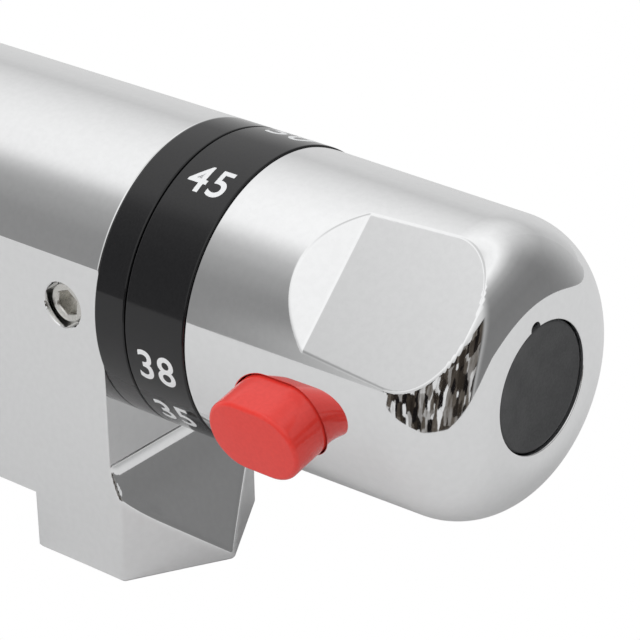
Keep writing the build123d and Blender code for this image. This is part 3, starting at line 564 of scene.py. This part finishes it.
def makeBoss(shell, side):
    # A hexagon as the least of six face distances over cos. Outside the block's end a web cuts its top:
    # it leaves the end face as the drop to the power 1.5, and runs straight on below the block's face
    s = body
    centre = np.array([side * s.inlet[0], s.inlet[1], 0])
    count = 360
    angle = np.arange(count) * 2 * math.pi / count
    outwards = np.stack([np.cos(angle), np.sin(angle), 0 * angle], -1)[:, None, :]

    def ring(radius, height):
        return centre + upright(outwards, np.full((count, 1), radius), height)[:, 0]

    top = axisZ - s.blockDrop
    heights = np.concatenate([[restZ + s.bossFoot], np.linspace(restZ + 1, s.webTop, s.webRows)])
    drop = (s.webTop - heights) / (s.webTop - top)
    webEnd = bodyEnd - s.inlet[0] + s.webProud
    webEnd = webEnd + s.webReach * (np.minimum(drop, 1) ** 1.5 + 1.5 * np.maximum(drop - 1, 0))
    webEnd[-1] -= s.webTuck
    radius = np.full((count, len(heights)), 1e3)
    for k in range(6):
        slant = np.cos(angle - math.radians(30 + 60 * k))[:, None]
        # above the block's face the front and back hide just behind the block's own
        inset = s.bossInset * np.clip((heights - top) / s.webTuck, 0, 1) * (k in (1, 4))
        radius = softMin(radius, planeRadius(s.bossRadius - inset, slant, 0.2), s.bossEdge)
    radius = softMin(radius, planeRadius(webEnd, side * np.cos(angle)[:, None], 0.2), s.webEdge)
    points = centre + upright(outwards, radius, heights)
    shell.grid(points, gridNormals(points, outwards), wrap=True)
    foot = points[:, 0] - (outwards[:, 0] + zWay) * s.bossFoot
    shell.band(points[:, 0], foot, outwards - zWay)
    check = circleLoop(centre + zWay * s.webTop, xWay, yWay, s.checkRadius)
    shell.flat([points[:, -1], check], zWay)
    low, seat = restZ + s.threadCut, restZ + s.threadDepth
    heights = np.arange(low, seat - 0.2, s.threadRow)
    fade = np.clip((seat - 0.4 - heights) / s.threadRunOut, 0, 1)
    fade = fade * np.clip((heights - low) / s.threadRunIn, 0, 1)
    wave = threadWave(angle[:, None], heights, s.threadPitch)
    thread = centre + upright(outwards, s.threadRadius + s.threadCut * wave * fade, heights)
    shell.grid(thread, gridNormals(thread, -outwards), wrap=True)
    mouth = ring(s.threadRadius + s.threadCut, restZ)
    shell.flat([foot, mouth], -zWay)
    shell.band(mouth, thread[:, 0], -outwards - zWay)
    shelf = seat + s.seatDepth
    threadEnd, seatRim, seatEnd = (ring(s.threadRadius, seat), ring(s.seatRadius, seat),
                                   ring(s.seatRadius, shelf))
    shell.band(thread[:, -1], threadEnd, -outwards)
    shell.band(threadEnd, seatRim, -zWay)
    shell.band(seatRim, seatEnd, -outwards)
    checkLow = circleLoop(centre + zWay * shelf, xWay, yWay, s.checkRadius)
    shell.flat([seatEnd, checkLow], -zWay)
    shell.band(checkLow, check, (centre + zWay * shelf - checkLow)[:, None, :])


makeBody()


# Lock screws: socket set screws sunk in the flat front

lockScrew = Settings(
    radius=3.82, face=22.4, edge=0.25, length=4.9, headRadius=3.35, headDepth=1.8,
    flats=4.0, turn=22, socketDepth=3.0, socketBevel=0.3, socketWide=1.06, tip=0.5,
)


def makeLockScrew(name, side, node):
    s = lockScrew

    def place(local):
        # (outwards from the axis, along the bar, up) to model space
        out, along, up = np.moveaxis(local, -1, 0)
        return np.stack([side * (bodyEnd - body.screwInset) + along, axisY - out, axisZ + up], -1)

    def at(drawn, height):
        return np.concatenate([np.full((len(drawn), 1), height), drawn], -1)

    shell = Shell(place)
    heading = compass(np.arange(96) * 3.75)
    top = s.face
    low, step, floor = top - s.length, top - s.headDepth, top - s.socketDepth
    flatRadius = s.headRadius - s.edge
    corners = [(0, low), (s.radius, low), (s.radius, step), (s.headRadius, step),
               (s.headRadius, top), (flatRadius, top)]
    turned(shell, corners, [0, s.edge, 0, 0, s.edge * 0.99, 0], heading, closed=False)
    # the socket: a hexagon with eight points a side
    tips = compass(np.arange(6) * 60 + s.turn) * s.flats / math.sqrt(3)
    sides = zip(tips, np.roll(tips, -1, 0))
    mouth = np.concatenate([np.linspace(a, b, 8, endpoint=False) for a, b in sides])
    rim, lip = at(mouth * s.socketWide, top), at(mouth, top - s.socketBevel)
    ground = at(mouth, floor)
    shell.flat([at(heading * flatRadius, top), rim], xWay)
    shell.band(rim, lip, at(-mouth, 1.5)[:, None, :])
    run = np.roll(mouth, -1, 0) - mouth
    inward = at(np.stack([-run[:, 1], run[:, 0]], -1), 0)
    for k in range(0, 48, 8):
        part = np.arange(k, k + 9) % 48
        shell.grid(np.stack([lip[part], ground[part]], 1), inward[k])
    shell.band(ground, np.broadcast_to([floor - s.tip, 0, 0], ground.shape), xWay)
    shell.build(name, "steel", "valve", node)


makeLockScrew("lock_screw_right", 1, "temperature_lock_screw")
makeLockScrew("lock_screw_left", -1, "flow_lock_screw")


# Black rings between the body and the handles

rings = Settings(
    edge=0.3, fixedInner=18.45, dialInner=18.6, spigot=3.5, spigotOuter=19.95,
    spigotEdge=0.2, gap=0.05, columns=360,
)
ringHeading = compass(np.arange(rings.columns) * 360 / rings.columns)


def makeFixedRing(name, place, node):
    s = rings
    shell = Shell(place)
    corners = [(s.fixedInner, 0), (barRadius, 0), (barRadius, ringWidth), (s.fixedInner, ringWidth)]
    turned(shell, corners, [0, s.edge, s.edge, 0], ringHeading)
    shell.build(name, "black_gloss", "valve", node)


def makeDial(name, place, bodyName, node):
    s = rings
    shell = Shell(place)
    step, top = handleStart - s.gap, handleStart + s.spigot
    corners = [(s.dialInner, dialStart), (barRadius, dialStart), (barRadius, step),
               (s.spigotOuter, step), (s.spigotOuter, top), (s.dialInner, top)]
    turned(shell, corners, [0, s.edge, s.edge, 0, s.spigotEdge, 0], ringHeading)
    shell.build(name, "black_gloss", bodyName, node)


makeFixedRing("end_ring_right", rightEnd, "temperature_fixed_ring")
makeFixedRing("end_ring_left", leftEnd, "flow_fixed_ring")
makeDial("dial_ring", rightEnd, "temperature_control", "temperature_dial")
makeDial("plain_ring", leftEnd, "flow_control", "flow_ring")


# White numerals printed round the dial

numerals = Settings(
    marks=(("50", 112), ("45", 65), ("38", -10), ("35", -34), ("30", -62), ("25", -88), ("20", -114)),
    height=5.5, weight=0.011, spacing=1.1, middle=12.5, proud=0.03, sunk=0.05, strips=24,
)


def makeNumeral(text, angle):
    # Flat letters wrapped on the ring: (u, v, w) goes to angle + v / radius and radius + w
    s = numerals
    curve = bpy.data.curves.new("numeral_" + text, "FONT")
    curve.body = text
    curve.align_x = "CENTER"
    curve.size = 1.0
    curve.offset = s.weight
    curve.space_character = s.spacing
    curve.extrude = 0.02
    curve.resolution_u = 6
    letters = linked("letters", curve)
    bpy.context.view_layer.update()
    mesh = bpy.data.meshes.new_from_object(letters.evaluated_get(bpy.context.evaluated_depsgraph_get()))
    bpy.data.objects.remove(letters)
    cut = bmesh.new()
    cut.from_mesh(mesh)
    bmesh.ops.remove_doubles(cut, verts=cut.verts, dist=1e-5)
    rises = [v.co.y for v in cut.verts]
    low, high = min(rises), max(rises)
    for level in np.linspace(low, high, s.strips + 1)[1:-1]:
        bmesh.ops.bisect_plane(cut, geom=cut.verts[:] + cut.edges[:] + cut.faces[:],
                               plane_co=(0, level, 0), plane_no=(0, 1, 0), dist=1e-6)
    bmesh.ops.recalc_face_normals(cut, faces=cut.faces)
    cut.to_mesh(mesh)
    cut.free()
    flat = np.empty(len(mesh.vertices) * 3)
    mesh.vertices.foreach_get("co", flat)
    flat = flat.reshape(-1, 3)
    scale = s.height / (high - low)
    u = (flat[:, 0] - (flat[:, 0].min() + flat[:, 0].max()) / 2) * scale
    v = (flat[:, 1] - (low + high) / 2) * scale
    w = np.where(flat[:, 2] > 0, s.proud, -s.sunk)
    local = aboutBar(s.middle + u, barRadius + w, math.radians(angle) + v / barRadius)
    mesh.vertices.foreach_set("co", (rightEnd(local) / 1000).ravel())
    mesh.flip_normals()
    mesh.materials.clear()
    mesh.materials.append(finishes["white_print"])
    piece = linked("numeral_" + text, mesh)
    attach(piece, "temperature_control")
    return piece


for text, angle in numerals.marks:
    makeNumeral(text, angle)
print("numerals:", len(numerals.marks))


# Handles: turned form with a rounded end, two flat grips, and on the right a slot for the button

handle = Settings(
    mouthRadius=24.75, shoulderRadius=24.3, endRadius=12.0, mouthEdge=0.3, inside=40.0,
    gripDistance=21.5, gripFloor=41.0, gripSlope=0.55, gripFall=0.054, gripAngles=(46, 226),
    gripEdge=0.17, gripRoot=0.12,
    boreRadius=20.0, cavityEnd=60.0, cavityBevel=6.0, bossOuter=12.5, bossLow=32.0,
    hubRadius=9.6, floorTop=62.4, floorLow=58.4, screwHole=2.1,
    capRadius=10.7, capEdge=0.2, notchAngle=80, notchRadius=1.15, notchDepth=4.0, notchFine=8,
    fineTurn=0.45, fineStep=0.18, fineReach=35, fineRows=(34.2, 42.2),
)
slot = Settings(angle=-12.0, centre=handleStart + 18.35, length=17.8, width=13.2, edge=0.25,
                window=(-36, 12), start=24.0, stop=50.0)


def handleColumns():
    # Angles round the handle: fine over grips and notch, with the sides of the slot's window among them
    s = handle
    spans = [(angle, s.fineReach, s.fineTurn) for angle in s.gripAngles]
    spans.append((s.notchAngle, s.notchFine, 0.5))
    fine = [np.arange(angle - reach, angle + reach + 0.01, step) for angle, reach, step in spans]
    return np.unique(np.round(np.concatenate(fine + [np.arange(-36, 324, 2.0)]), 6))


def handleRows():
    # Places along the outer profile, as arc length from the mouth's edge: fine where the grips begin
    # and where the end's round does
    s = handle
    start = handleStart + s.mouthEdge
    straight = handleEnd - s.endRadius - start
    arc = s.endRadius * math.pi / 2
    low, high = (place - start for place in s.fineRows)
    marks = [np.arange(0, low, 1.6), [slot.start - start, slot.stop - start],
             np.arange(low, high, s.fineStep), np.arange(high + 0.8, straight - 1, 1.0),
             np.arange(straight - 1, straight + 8.6, s.fineStep),
             np.linspace(straight + 9, straight + arc, 24)]
    return np.unique(np.round(np.concatenate(marks), 6)), straight


def turnedAt(length, straight):
    # Radius and height of the turned form at an arc length: a slight taper, then a quarter round
    s = handle
    angle = np.clip((length - straight) / s.endRadius, 0, math.pi / 2)
    radius = s.mouthRadius + (s.shoulderRadius - s.mouthRadius) * np.clip(length / straight, 0, 1)
    height = handleStart + s.mouthEdge + np.minimum(length, straight) + s.endRadius * np.sin(angle)
    return radius - s.endRadius * (1 - np.cos(angle)), height


def handleSurface(degrees, length, straight):
    # The turned radius, held back to each grip's distance over the cosine of the angle from it; the
    # distance falls slowly towards the end, and steeply where the grip runs in
    s = handle
    radius, height, degrees = np.broadcast_arrays(*turnedAt(length, straight), degrees)
    past = height - s.gripFloor
    limit = s.gripDistance + softMax(-s.gripSlope * past, -s.gripFall * past, s.gripRoot)
    for grip in s.gripAngles:
        slant = np.cos(np.radians(degrees - grip))
        radius = softMin(radius, planeRadius(limit, slant, 0.5), s.gripEdge)
    return aboutBar(height, radius, np.radians(degrees))


def stadium(length, width, count=40):
    # Half circles at two ends: base points on the middle line, and headings from them, (along, across)
    half = (length - width) / 2
    first = np.radians(np.linspace(-90, 90, count))
    ends = np.concatenate([first, first + math.pi])
    base = np.concatenate([np.full(count, half), np.full(count, -half)])
    return np.stack([base, np.zeros(2 * count)], -1), np.stack([np.cos(ends), np.sin(ends)], -1)


def slotSurface(drawn, radius):
    # Places (along, across) of the slot's plane set on a cylinder, at the angle asin(across / radius)
    turn = math.radians(slot.angle) + np.arcsin(drawn[:, 1] / radius)
    return aboutBar(slot.centre + drawn[:, 0], radius, turn), turn


def slotPatch(shell, columns, rows, radiusAt, outward, loop):
    # A window of a turned wall round the slot: triangles from the window's edge to the slot's loop
    low, high = slot.window
    columnsIn = columns[(columns >= low) & (columns <= high)]
    rowsIn = rows[(rows >= slot.start - 1e-6) & (rows <= slot.stop + 1e-6)]
    edge = ([(c, rowsIn[0]) for c in columnsIn] + [(high, r) for r in rowsIn[1:]]
            + [(c, rowsIn[-1]) for c in columnsIn[::-1][1:]] + [(low, r) for r in rowsIn[::-1][1:-1]])
    lattice = np.array([(c, r) for c in np.arange(low + 2, high, 2.0)
                        for r in np.arange(slot.start + 1, slot.stop, 1.0)])
    scale = math.radians(handle.mouthRadius)
    across = (lattice[:, 0] - slot.angle) * scale
    along = np.abs(lattice[:, 1] - slot.centre) - (slot.length - slot.width) / 2
    margin = 1.0 + (handle.mouthRadius - radiusAt(slot.centre)) * 0.5
    lattice = lattice[np.hypot(np.maximum(along, 0), across) > slot.width / 2 + margin]
    stretch = np.array([scale, 1.0])
    points, faces = triangulate([np.array(edge) * stretch, loop * stretch], lattice * stretch)
    angle, height = np.radians(points[:, 0] / scale), points[:, 1]
    shell.add(aboutBar(height, radiusAt(height), angle), aboutBar(0, 1, angle) * outward, faces)


def cutSlot(shell, columns, rows, boreRows, radiusAt):
    # Both walls round the slot, the round of its rim, and the slot's own wall
    s = slot
    boreRadius = handle.boreRadius
    base, across = stadium(s.length, s.width)
    wide = s.width / 2

    def loopAt(reach, radius):
        points, turn = slotSurface(base + across * reach, radius)
        return points, np.stack([np.degrees(turn), points[:, 0]], -1)

    outerRadius = radiusAt(s.centre + base[:, 0] + across[:, 0] * (wide + s.edge))
    slotPatch(shell, columns, rows, radiusAt, 1, loopAt(wide + s.edge, outerRadius)[1])
    borePoints, boreLoop = loopAt(wide, boreRadius)

    def boreAt(height):
        return np.full(np.shape(height), boreRadius)

    slotPatch(shell, columns, boreRows, boreAt, -1, boreLoop)
    slotTurn = math.radians(s.angle)
    wallNormal = -(xWay * across[:, :1] + aboutBar(0, 1, slotTurn + math.pi / 2) * across[:, 1:])
    rounds, roundNormals = [], []
    for angle in np.radians(np.linspace(0, 90, 5)):
        drawn = base + across * (wide + s.edge * (1 - math.sin(angle)))
        points, turn = slotSurface(drawn, radiusAt(s.centre + drawn[:, 0]))
        rounds.append(points - aboutBar(0, 1, slotTurn) * s.edge * (1 - math.cos(angle)))
        roundNormals.append(aboutBar(0, 1, turn) * math.cos(angle) + wallNormal * math.sin(angle))
    shell.grid(np.stack(rounds, 1), np.stack(roundNormals, 1), wrap=True)
    shell.band(rounds[-1], borePoints, wallNormal[:, None, :])


def makeHandle(name, place, bodyName, node, slotted):
    s = handle
    shell = Shell(place)
    columns = handleColumns()
    rows, straight = handleRows()
    start = handleStart + s.mouthEdge
    small = 0.02

    def surface(turn=0.0, rise=0.0):
        return handleSurface(columns[:, None] + turn, rows[None, :] + rise, straight)

    grid = surface()
    normals = unit(np.cross(surface(small) - surface(-small), surface(0, small) - surface(0, -small)))
    normals = normals * np.sign((normals * (grid - xWay * s.inside)).sum(-1, keepdims=True))
    low, high = slot.window
    columnEnd = np.roll(columns, -1)
    inColumns = (columns >= low) & (columnEnd <= high) & (columnEnd > columns)
    inRows = (rows[:-1] + start >= slot.start - 1e-6) & (rows[1:] + start <= slot.stop + 1e-6)
    inColumns = slotted & inColumns[:, None]
    shell.grid(grid, normals, wrap=True, keep=~(inColumns & inRows))
    # the end face, the cap's hole with its notch, and the hollow inside, all turned
    heading = compass(columns)
    inward = np.concatenate([np.zeros((len(columns), 1)), -heading], -1)[:, None, :]

    def ringPoints(radius, height):
        radius, height = np.broadcast_arrays(radius, height)
        return np.concatenate([height[..., None], heading[:, None, :] * radius[..., None]], -1)

    offset = np.abs((columns - s.notchAngle + 180) % 360 - 180) * math.radians(s.capRadius)
    holeRadius = s.capRadius + np.sqrt(np.maximum(s.notchRadius ** 2 - offset ** 2, 0))
    capRadius, edge = np.full(len(columns), s.capRadius), s.capEdge
    turn = np.radians(np.linspace(0, 90, 5))
    rimRadius = holeRadius[:, None] + edge * (1 - np.sin(turn))
    faceRadius = np.full(len(columns), s.shoulderRadius - s.endRadius)
    shell.grid(ringPoints(np.stack([faceRadius, rimRadius[:, 0]], 1), handleEnd), xWay, wrap=True)
    rim = ringPoints(rimRadius, handleEnd - edge * (1 - np.cos(turn)))
    shell.grid(rim, inward * np.sin(turn)[:, None] + xWay * np.cos(turn)[:, None], wrap=True)
    ledge = handleEnd - s.notchDepth
    wall = ringPoints(holeRadius[:, None], np.array([handleEnd - edge, ledge]))
    shell.grid(wall, gridNormals(wall, inward), wrap=True)
    shell.grid(ringPoints(np.stack([holeRadius, capRadius], 1), ledge), xWay, wrap=True)
    cavityStart = s.cavityEnd - s.cavityBevel
    corners = [(s.capRadius, ledge), (s.capRadius, s.floorTop), (s.screwHole, s.floorTop),
               (s.screwHole, s.floorLow), (s.hubRadius, s.floorLow), (s.hubRadius, s.bossLow),
               (s.bossOuter, s.bossLow), (s.bossOuter, s.cavityEnd),
               (s.boreRadius - s.cavityBevel, s.cavityEnd), (s.boreRadius, cavityStart)]
    turned(shell, corners, [0] * len(corners), heading, closed=False)
    boreRows = np.array([handleStart, slot.start, slot.stop, cavityStart])
    bore = ringPoints(np.full((len(columns), 1), s.boreRadius), boreRows)
    shell.grid(bore, inward, wrap=True, keep=~(inColumns & np.array([False, True, False])))
    mouth = [(s.boreRadius, handleStart), (s.mouthRadius, handleStart), (s.mouthRadius, start)]
    turned(shell, mouth, [0, s.mouthEdge * 0.999, 0], heading, closed=False)
    if slotted:
        def outerAt(height):
            return turnedAt(height - start, straight)[0]

        cutSlot(shell, columns, rows + start, boreRows, outerAt)
    shell.build(name, "chrome", bodyName, node)


makeHandle("temperature_grip", rightEnd, "temperature_control", "temperature_handle", True)
makeHandle("flow_grip", leftEnd, "flow_control", "flow_handle", False)


# Round caps in the handles' ends, slightly dished

cap = Settings(radius=10.6, sink=0.5, edge=0.5, flatEdge=0.75, dish=0.55, thickness=3.0,
               columns=240)


def makeCap(name, place, bodyName, node):
    # Turned: back face, rim, rounded edge, and a dished face
    s = cap
    top = handleEnd - s.sink
    low, reach = top - s.thickness, s.radius - s.flatEdge
    shell = Shell(place)
    heading = compass(np.arange(s.columns) * 360 / s.columns)
    corners = [(0, low), (s.radius, low), (s.radius, top), (reach, top)]
    turned(shell, corners, [0, 0, s.edge, 0], heading, closed=False)
    domed(shell, reach, top, -s.dish, 16, np.zeros_like(heading), heading)
    shell.build(name, "black_satin", bodyName, node)


makeCap("end_cap_right", rightEnd, "temperature_control", "temperature_cap")
makeCap("end_cap_left", leftEnd, "flow_control", "flow_cap")


# Safety button: oblong head, flange inside the handle, and the pawl that meets the stop

button = Settings(
    length=17.4, width=12.6, top=31.2, edge=0.8, flatEdge=1.1, crown=0.12,
    flangeTop=18.1, flangeLow=16.7, flangeLip=1.1, flangeEdge=0.2,
    pawlWidth=6.0, pawlReach=16.6, pawlLength=8.5, pawlDrop=1.4, pawlOverlap=0.02,
)


def makeButton():
    s = button
    turn = math.radians(slot.angle)

    def place(local):
        # (out, along, across) of the slot's plane to the handle's frame, then to the right end
        out, along, across = np.moveaxis(local, -1, 0)
        inHandle = np.stack([slot.centre + along, out * math.cos(turn) - across * math.sin(turn),
                             out * math.sin(turn) + across * math.cos(turn)], -1)
        return rightEnd(inHandle)

    shell = Shell(place)
    base, heading = stadium(s.length, s.width, 48)
    wide = s.width / 2
    lip, reach = wide + s.flangeLip, wide - s.flatEdge
    corners = [(0, s.flangeLow), (lip, s.flangeLow), (lip, s.flangeTop), (wide, s.flangeTop),
               (wide, s.top), (reach, s.top)]
    radii = [0, s.flangeEdge, s.flangeEdge, 0, s.edge, 0]
    carried(shell, outline(corners, radii, closed=False, steps=10), base, heading)
    domed(shell, reach, s.top, s.crown, 10, base, heading)
    # the pawl: a block under the flange
    half, tip = s.pawlWidth / 2, -s.pawlReach
    root = tip + s.pawlLength
    pawl = [(tip, -half), (root, -half), (root, half), (tip, half)]
    levels = (s.flangeLow - s.pawlDrop, s.flangeLow + s.pawlOverlap)
    ground, roof = (np.array([(level, *corner) for corner in pawl]) for level in levels)
    shell.flat([ground], -xWay)
    shell.flat([roof], xWay)
    for a, b, c, d in zip(ground, roof, np.roll(ground, -1, 0), np.roll(roof, -1, 0)):
        shell.grid(np.array([[a, b], [c, d]]), np.array([0, c[2] - a[2], a[1] - c[1]]))
    shell.build("stop_button", "red_gloss", "button", "safety_button")


makeButton()


# Outlet nipple with its hose thread

nipple = Settings(
    radius=10.35, bore=6.45, boreBevel=0.4, low=0.0, top=16.2, columns=240,
    collarLow=7.3, collarTop=8.9, collarRadius=12.6, collarBevel=0.3,
    pitch=1.814, cut=0.95, row=0.13, runIn=1.2, runOut=0.8, neck=1.2,
)


def makeNipple():
    # Thread: radius - cut * ridge, faded at both ends; a bevel below it, the neck and the collar above
    s = nipple
    shell = Shell()
    angle = np.arange(s.columns) * 2 * math.pi / s.columns
    outwards = np.stack([np.cos(angle), np.sin(angle), 0 * angle], -1)[:, None, :]
    low, collar = s.low, s.collarLow
    heights = np.arange(low, collar - 0.1, s.row)
    fade = np.clip((collar - 0.9 - heights) / s.runOut, 0, 1) * np.clip(heights / s.runIn, 0, 1)
    radius = s.radius - s.cut * threadWave(angle[:, None], heights, s.pitch) * fade
    radius = np.minimum(radius, s.radius - s.cut + np.clip(heights, 0, 2))
    radius = radius - s.cut * np.clip((heights - (collar - s.neck)) / 0.3, 0, 1)
    thread = upright(outwards, radius, heights)
    shell.grid(thread, gridNormals(thread, outwards), wrap=True)
    bevel, boreBevel = s.collarBevel, s.boreBevel
    corners = [(radius[0, -1], heights[-1]), (radius[0, -1], collar), (s.collarRadius - bevel, collar),
               (s.collarRadius, collar + bevel), (s.collarRadius, s.collarTop),
               (s.radius, s.collarTop), (s.radius, s.top), (s.bore, s.top),
               (s.bore, low + boreBevel), (s.bore + boreBevel, low), (radius[0, 0], low)]
    facing = [outwards, -zWay, outwards - zWay, outwards, zWay,
              outwards, zWay, -outwards, -outwards - zWay, -zWay]
    rims = [upright(outwards, np.full((s.columns, 1), r), height)[:, 0] for r, height in corners]
    for first, last, normal in zip(rims, rims[1:], facing):
        shell.band(first, last, normal)
    shell.build("hose_nipple", "chrome", "valve", "outlet_nipple")


makeNipple()


# Floor, world, lamp and camera

studio = Settings(
    floorCentre=(130, 5), floorGrey=0.68, frontReach=480,
    # the horizon's drop in degrees at compass azimuths, counted from the front to the right
    horizon={-180: 8, -150: 9, -40: 8, 0: 17, 30: 22, 60: 21, 100: 12, 110: 9, 180: 8},
    ambient=0.72, sunStrength=1.1, sunAngle=40, sunFrom=(-35, 50),
)


def makeFloor():
    # A flat sheet whose reach from the handle's end changes with the heading, so its edge is the
    # horizon that the chrome shows
    s = studio
    azimuths = np.arange(360) - 180.0
    edge = np.interp(azimuths, list(s.horizon), list(s.horizon.values()))
    reach = axisZ / np.tan(np.radians(edge))
    reach = np.where(azimuths < -20, np.maximum(reach, s.frontReach), reach)[:, None]
    angle = np.radians(azimuths)
    rim = s.floorCentre + reach * np.stack([np.sin(angle), -np.cos(angle)], -1)
    points = np.concatenate([[s.floorCentre], rim])
    space = np.concatenate([points, np.full((len(points), 1), restZ)], -1) / 1000
    mesh = bpy.data.meshes.new("studio_floor")
    mesh.from_pydata(space.tolist(), [], [(0, k + 1, (k + 1) % 360 + 1) for k in range(360)])
    floor = linked("studio_floor", mesh)
    material = bpy.data.materials.new("floor_sheet")
    material.use_nodes = True
    graph = Graph(material.node_tree)
    cameraRay = graph.add("LightPath", output=0)
    grey = s.floorGrey
    diffuse = graph.add("BsdfDiffuse", {"Color": (grey, grey, grey)})
    glow = graph.add("Emission", {"Color": (1.0, 1.0, 1.0), "Strength": 1.0})
    both = graph.add("MixShader", {0: cameraRay, 1: diffuse, 2: glow})
    # from below it lets a camera look through
    back = graph.add("NewGeometry", output=6)
    clear = graph.add("BsdfTransparent")
    sheet = graph.add("MixShader", {0: back * cameraRay, 1: both, 2: clear})
    graph.add("OutputMaterial", {0: sheet})
    mesh.materials.append(material)


def makeWorld():
    # Soft studio by direction: a bright ceiling edge, greyer walls low at the back right and front
    # left, and a darker room in front below a slanting edge; to the camera it is white
    world = bpy.data.worlds.new("studio")
    bpy.context.scene.world = world
    world.use_nodes = True
    graph = Graph(world.node_tree)
    direction = graph.add("TexCoord", output=0)
    x, y, z = (graph.add("SeparateXYZ", {0: direction}, k) for k in range(3))
    up = z.maths("ARCSINE") * (180 / math.pi)
    heading = x.maths("ARCTAN2", -y) * (180 / math.pi)
    share = (up + 10) / 100
    dim = graph.ramp(share, (0.05, 0.20), (0.20, 0.19), (0.34, 0.21), (0.45, 0.28), (0.53, 0.42),
                     (0.60, 0.70), (0.66, 0.98), (0.74, 0.92), (0.82, 0.68), (1.0, 0.62))
    pale = graph.ramp(share, (0.05, 0.68), (0.20, 0.66), (0.30, 0.60), (0.42, 0.74), (0.55, 0.88),
                      (0.66, 1.0), (0.74, 0.94), (0.82, 0.70), (1.0, 0.62))
    frontLeft = heading.step(-75, -55) * heading.step(-30, -36)
    backRight = heading.step(90, 102) * heading.step(190, 140, 0.25, 1.0)
    backLeft = heading.step(-160, -180, 0.0, 0.25)
    dark = (frontLeft * 0.85 + backRight + backLeft).maths("MINIMUM", 1.0)
    walls = graph.blend(dark, pale, dim)
    # the room in front: dark, with soft upright shapes, below an edge that climbs to the right
    past = heading + 30
    edge = past * past * 0.0009 + past * 0.07 + 1.5
    inFront = heading.step(-33, -29) * heading.step(97, 93)
    below = (up - edge).step(0.5, -0.5)
    across, rise = heading * 0.2, up * 0.1
    place = graph.add("CombineXYZ", {0: across, 1: rise})
    warp = graph.add("TexNoise", {"Vector": place, "Scale": 0.9, "Detail": 4.0})
    bent = graph.add("CombineXYZ", {0: across + warp * 1.2, 1: rise + warp * 0.5})
    cells = graph.add("TexVoronoi", {"Vector": bent, "Scale": 1.0}, 1, distance="CHEBYCHEV")
    tint = graph.add("SeparateXYZ", {0: cells}) * 0.7 + warp * 0.3
    room = graph.ramp(tint, (0.22, (0.008, 0.007, 0.007)), (0.40, (0.035, 0.028, 0.022)),
                      (0.55, (0.11, 0.095, 0.08)), (0.66, (0.30, 0.29, 0.28)),
                      (0.78, (0.72, 0.72, 0.72)))
    seenColour = graph.blend(inFront * below, walls, room)
    white = (1.0, 1.0, 1.0)
    shine = graph.add("Background", {"Color": seenColour, "Strength": 1.0})
    plain = graph.add("Background", {"Color": white, "Strength": studio.ambient})
    bare = graph.add("Background", {"Color": white, "Strength": 1.0})
    cameraRay, glossyRay = (graph.add("LightPath", output=k) for k in (0, 3))
    lit = graph.add("MixShader", {0: glossyRay, 1: plain, 2: shine})
    graph.add("OutputWorld", {0: graph.add("MixShader", {0: cameraRay, 1: lit, 2: bare})})


def makeLamp():
    s = studio
    lamp = bpy.data.lights.new("soft_sun", "SUN")
    lamp.energy = s.sunStrength
    lamp.angle = math.radians(s.sunAngle)
    holder = linked("soft_sun", lamp)
    azimuth, height = (math.radians(v) for v in s.sunFrom)
    level = math.cos(height)
    towards = Vector((math.sin(azimuth) * level, -math.cos(azimuth) * level, math.sin(height)))
    holder.rotation_euler = towards.to_track_quat("Z", "Y").to_euler()
    holder.visible_glossy = False


camera = Settings(place=(0.39377, -0.33492, 0.27293), yaw=-39.90, pitch=-27.06, roll=-1.30,
                  lens=178.27, sensor=36, near=0.01)


def makeCamera():
    # Looks along (cos p sin y, cos p cos y, sin p), then rolled about that line
    s = camera
    yaw, pitch, roll = (math.radians(s[k]) for k in ("yaw", "pitch", "roll"))
    look = Vector((math.cos(pitch) * math.sin(yaw), math.cos(pitch) * math.cos(yaw), math.sin(pitch)))
    right = look.cross(Vector((0, 0, 1))).normalized()
    up = right.cross(look)
    rightRolled = math.cos(roll) * right + math.sin(roll) * up
    upRolled = math.cos(roll) * up - math.sin(roll) * right
    data = bpy.data.cameras.new("camera")
    data.lens = s.lens
    data.sensor_width = s.sensor
    data.clip_start = s.near
    holder = linked("camera", data)
    turn = Matrix((rightRolled, upRolled, -look)).transposed().to_4x4()
    holder.matrix_world = Matrix.Translation(s.place) @ turn
    bpy.context.scene.camera = holder


makeFloor()
makeWorld()
makeLamp()
makeCamera()
bpy.context.scene.view_settings.view_transform = "Standard"
print("studio and camera set")
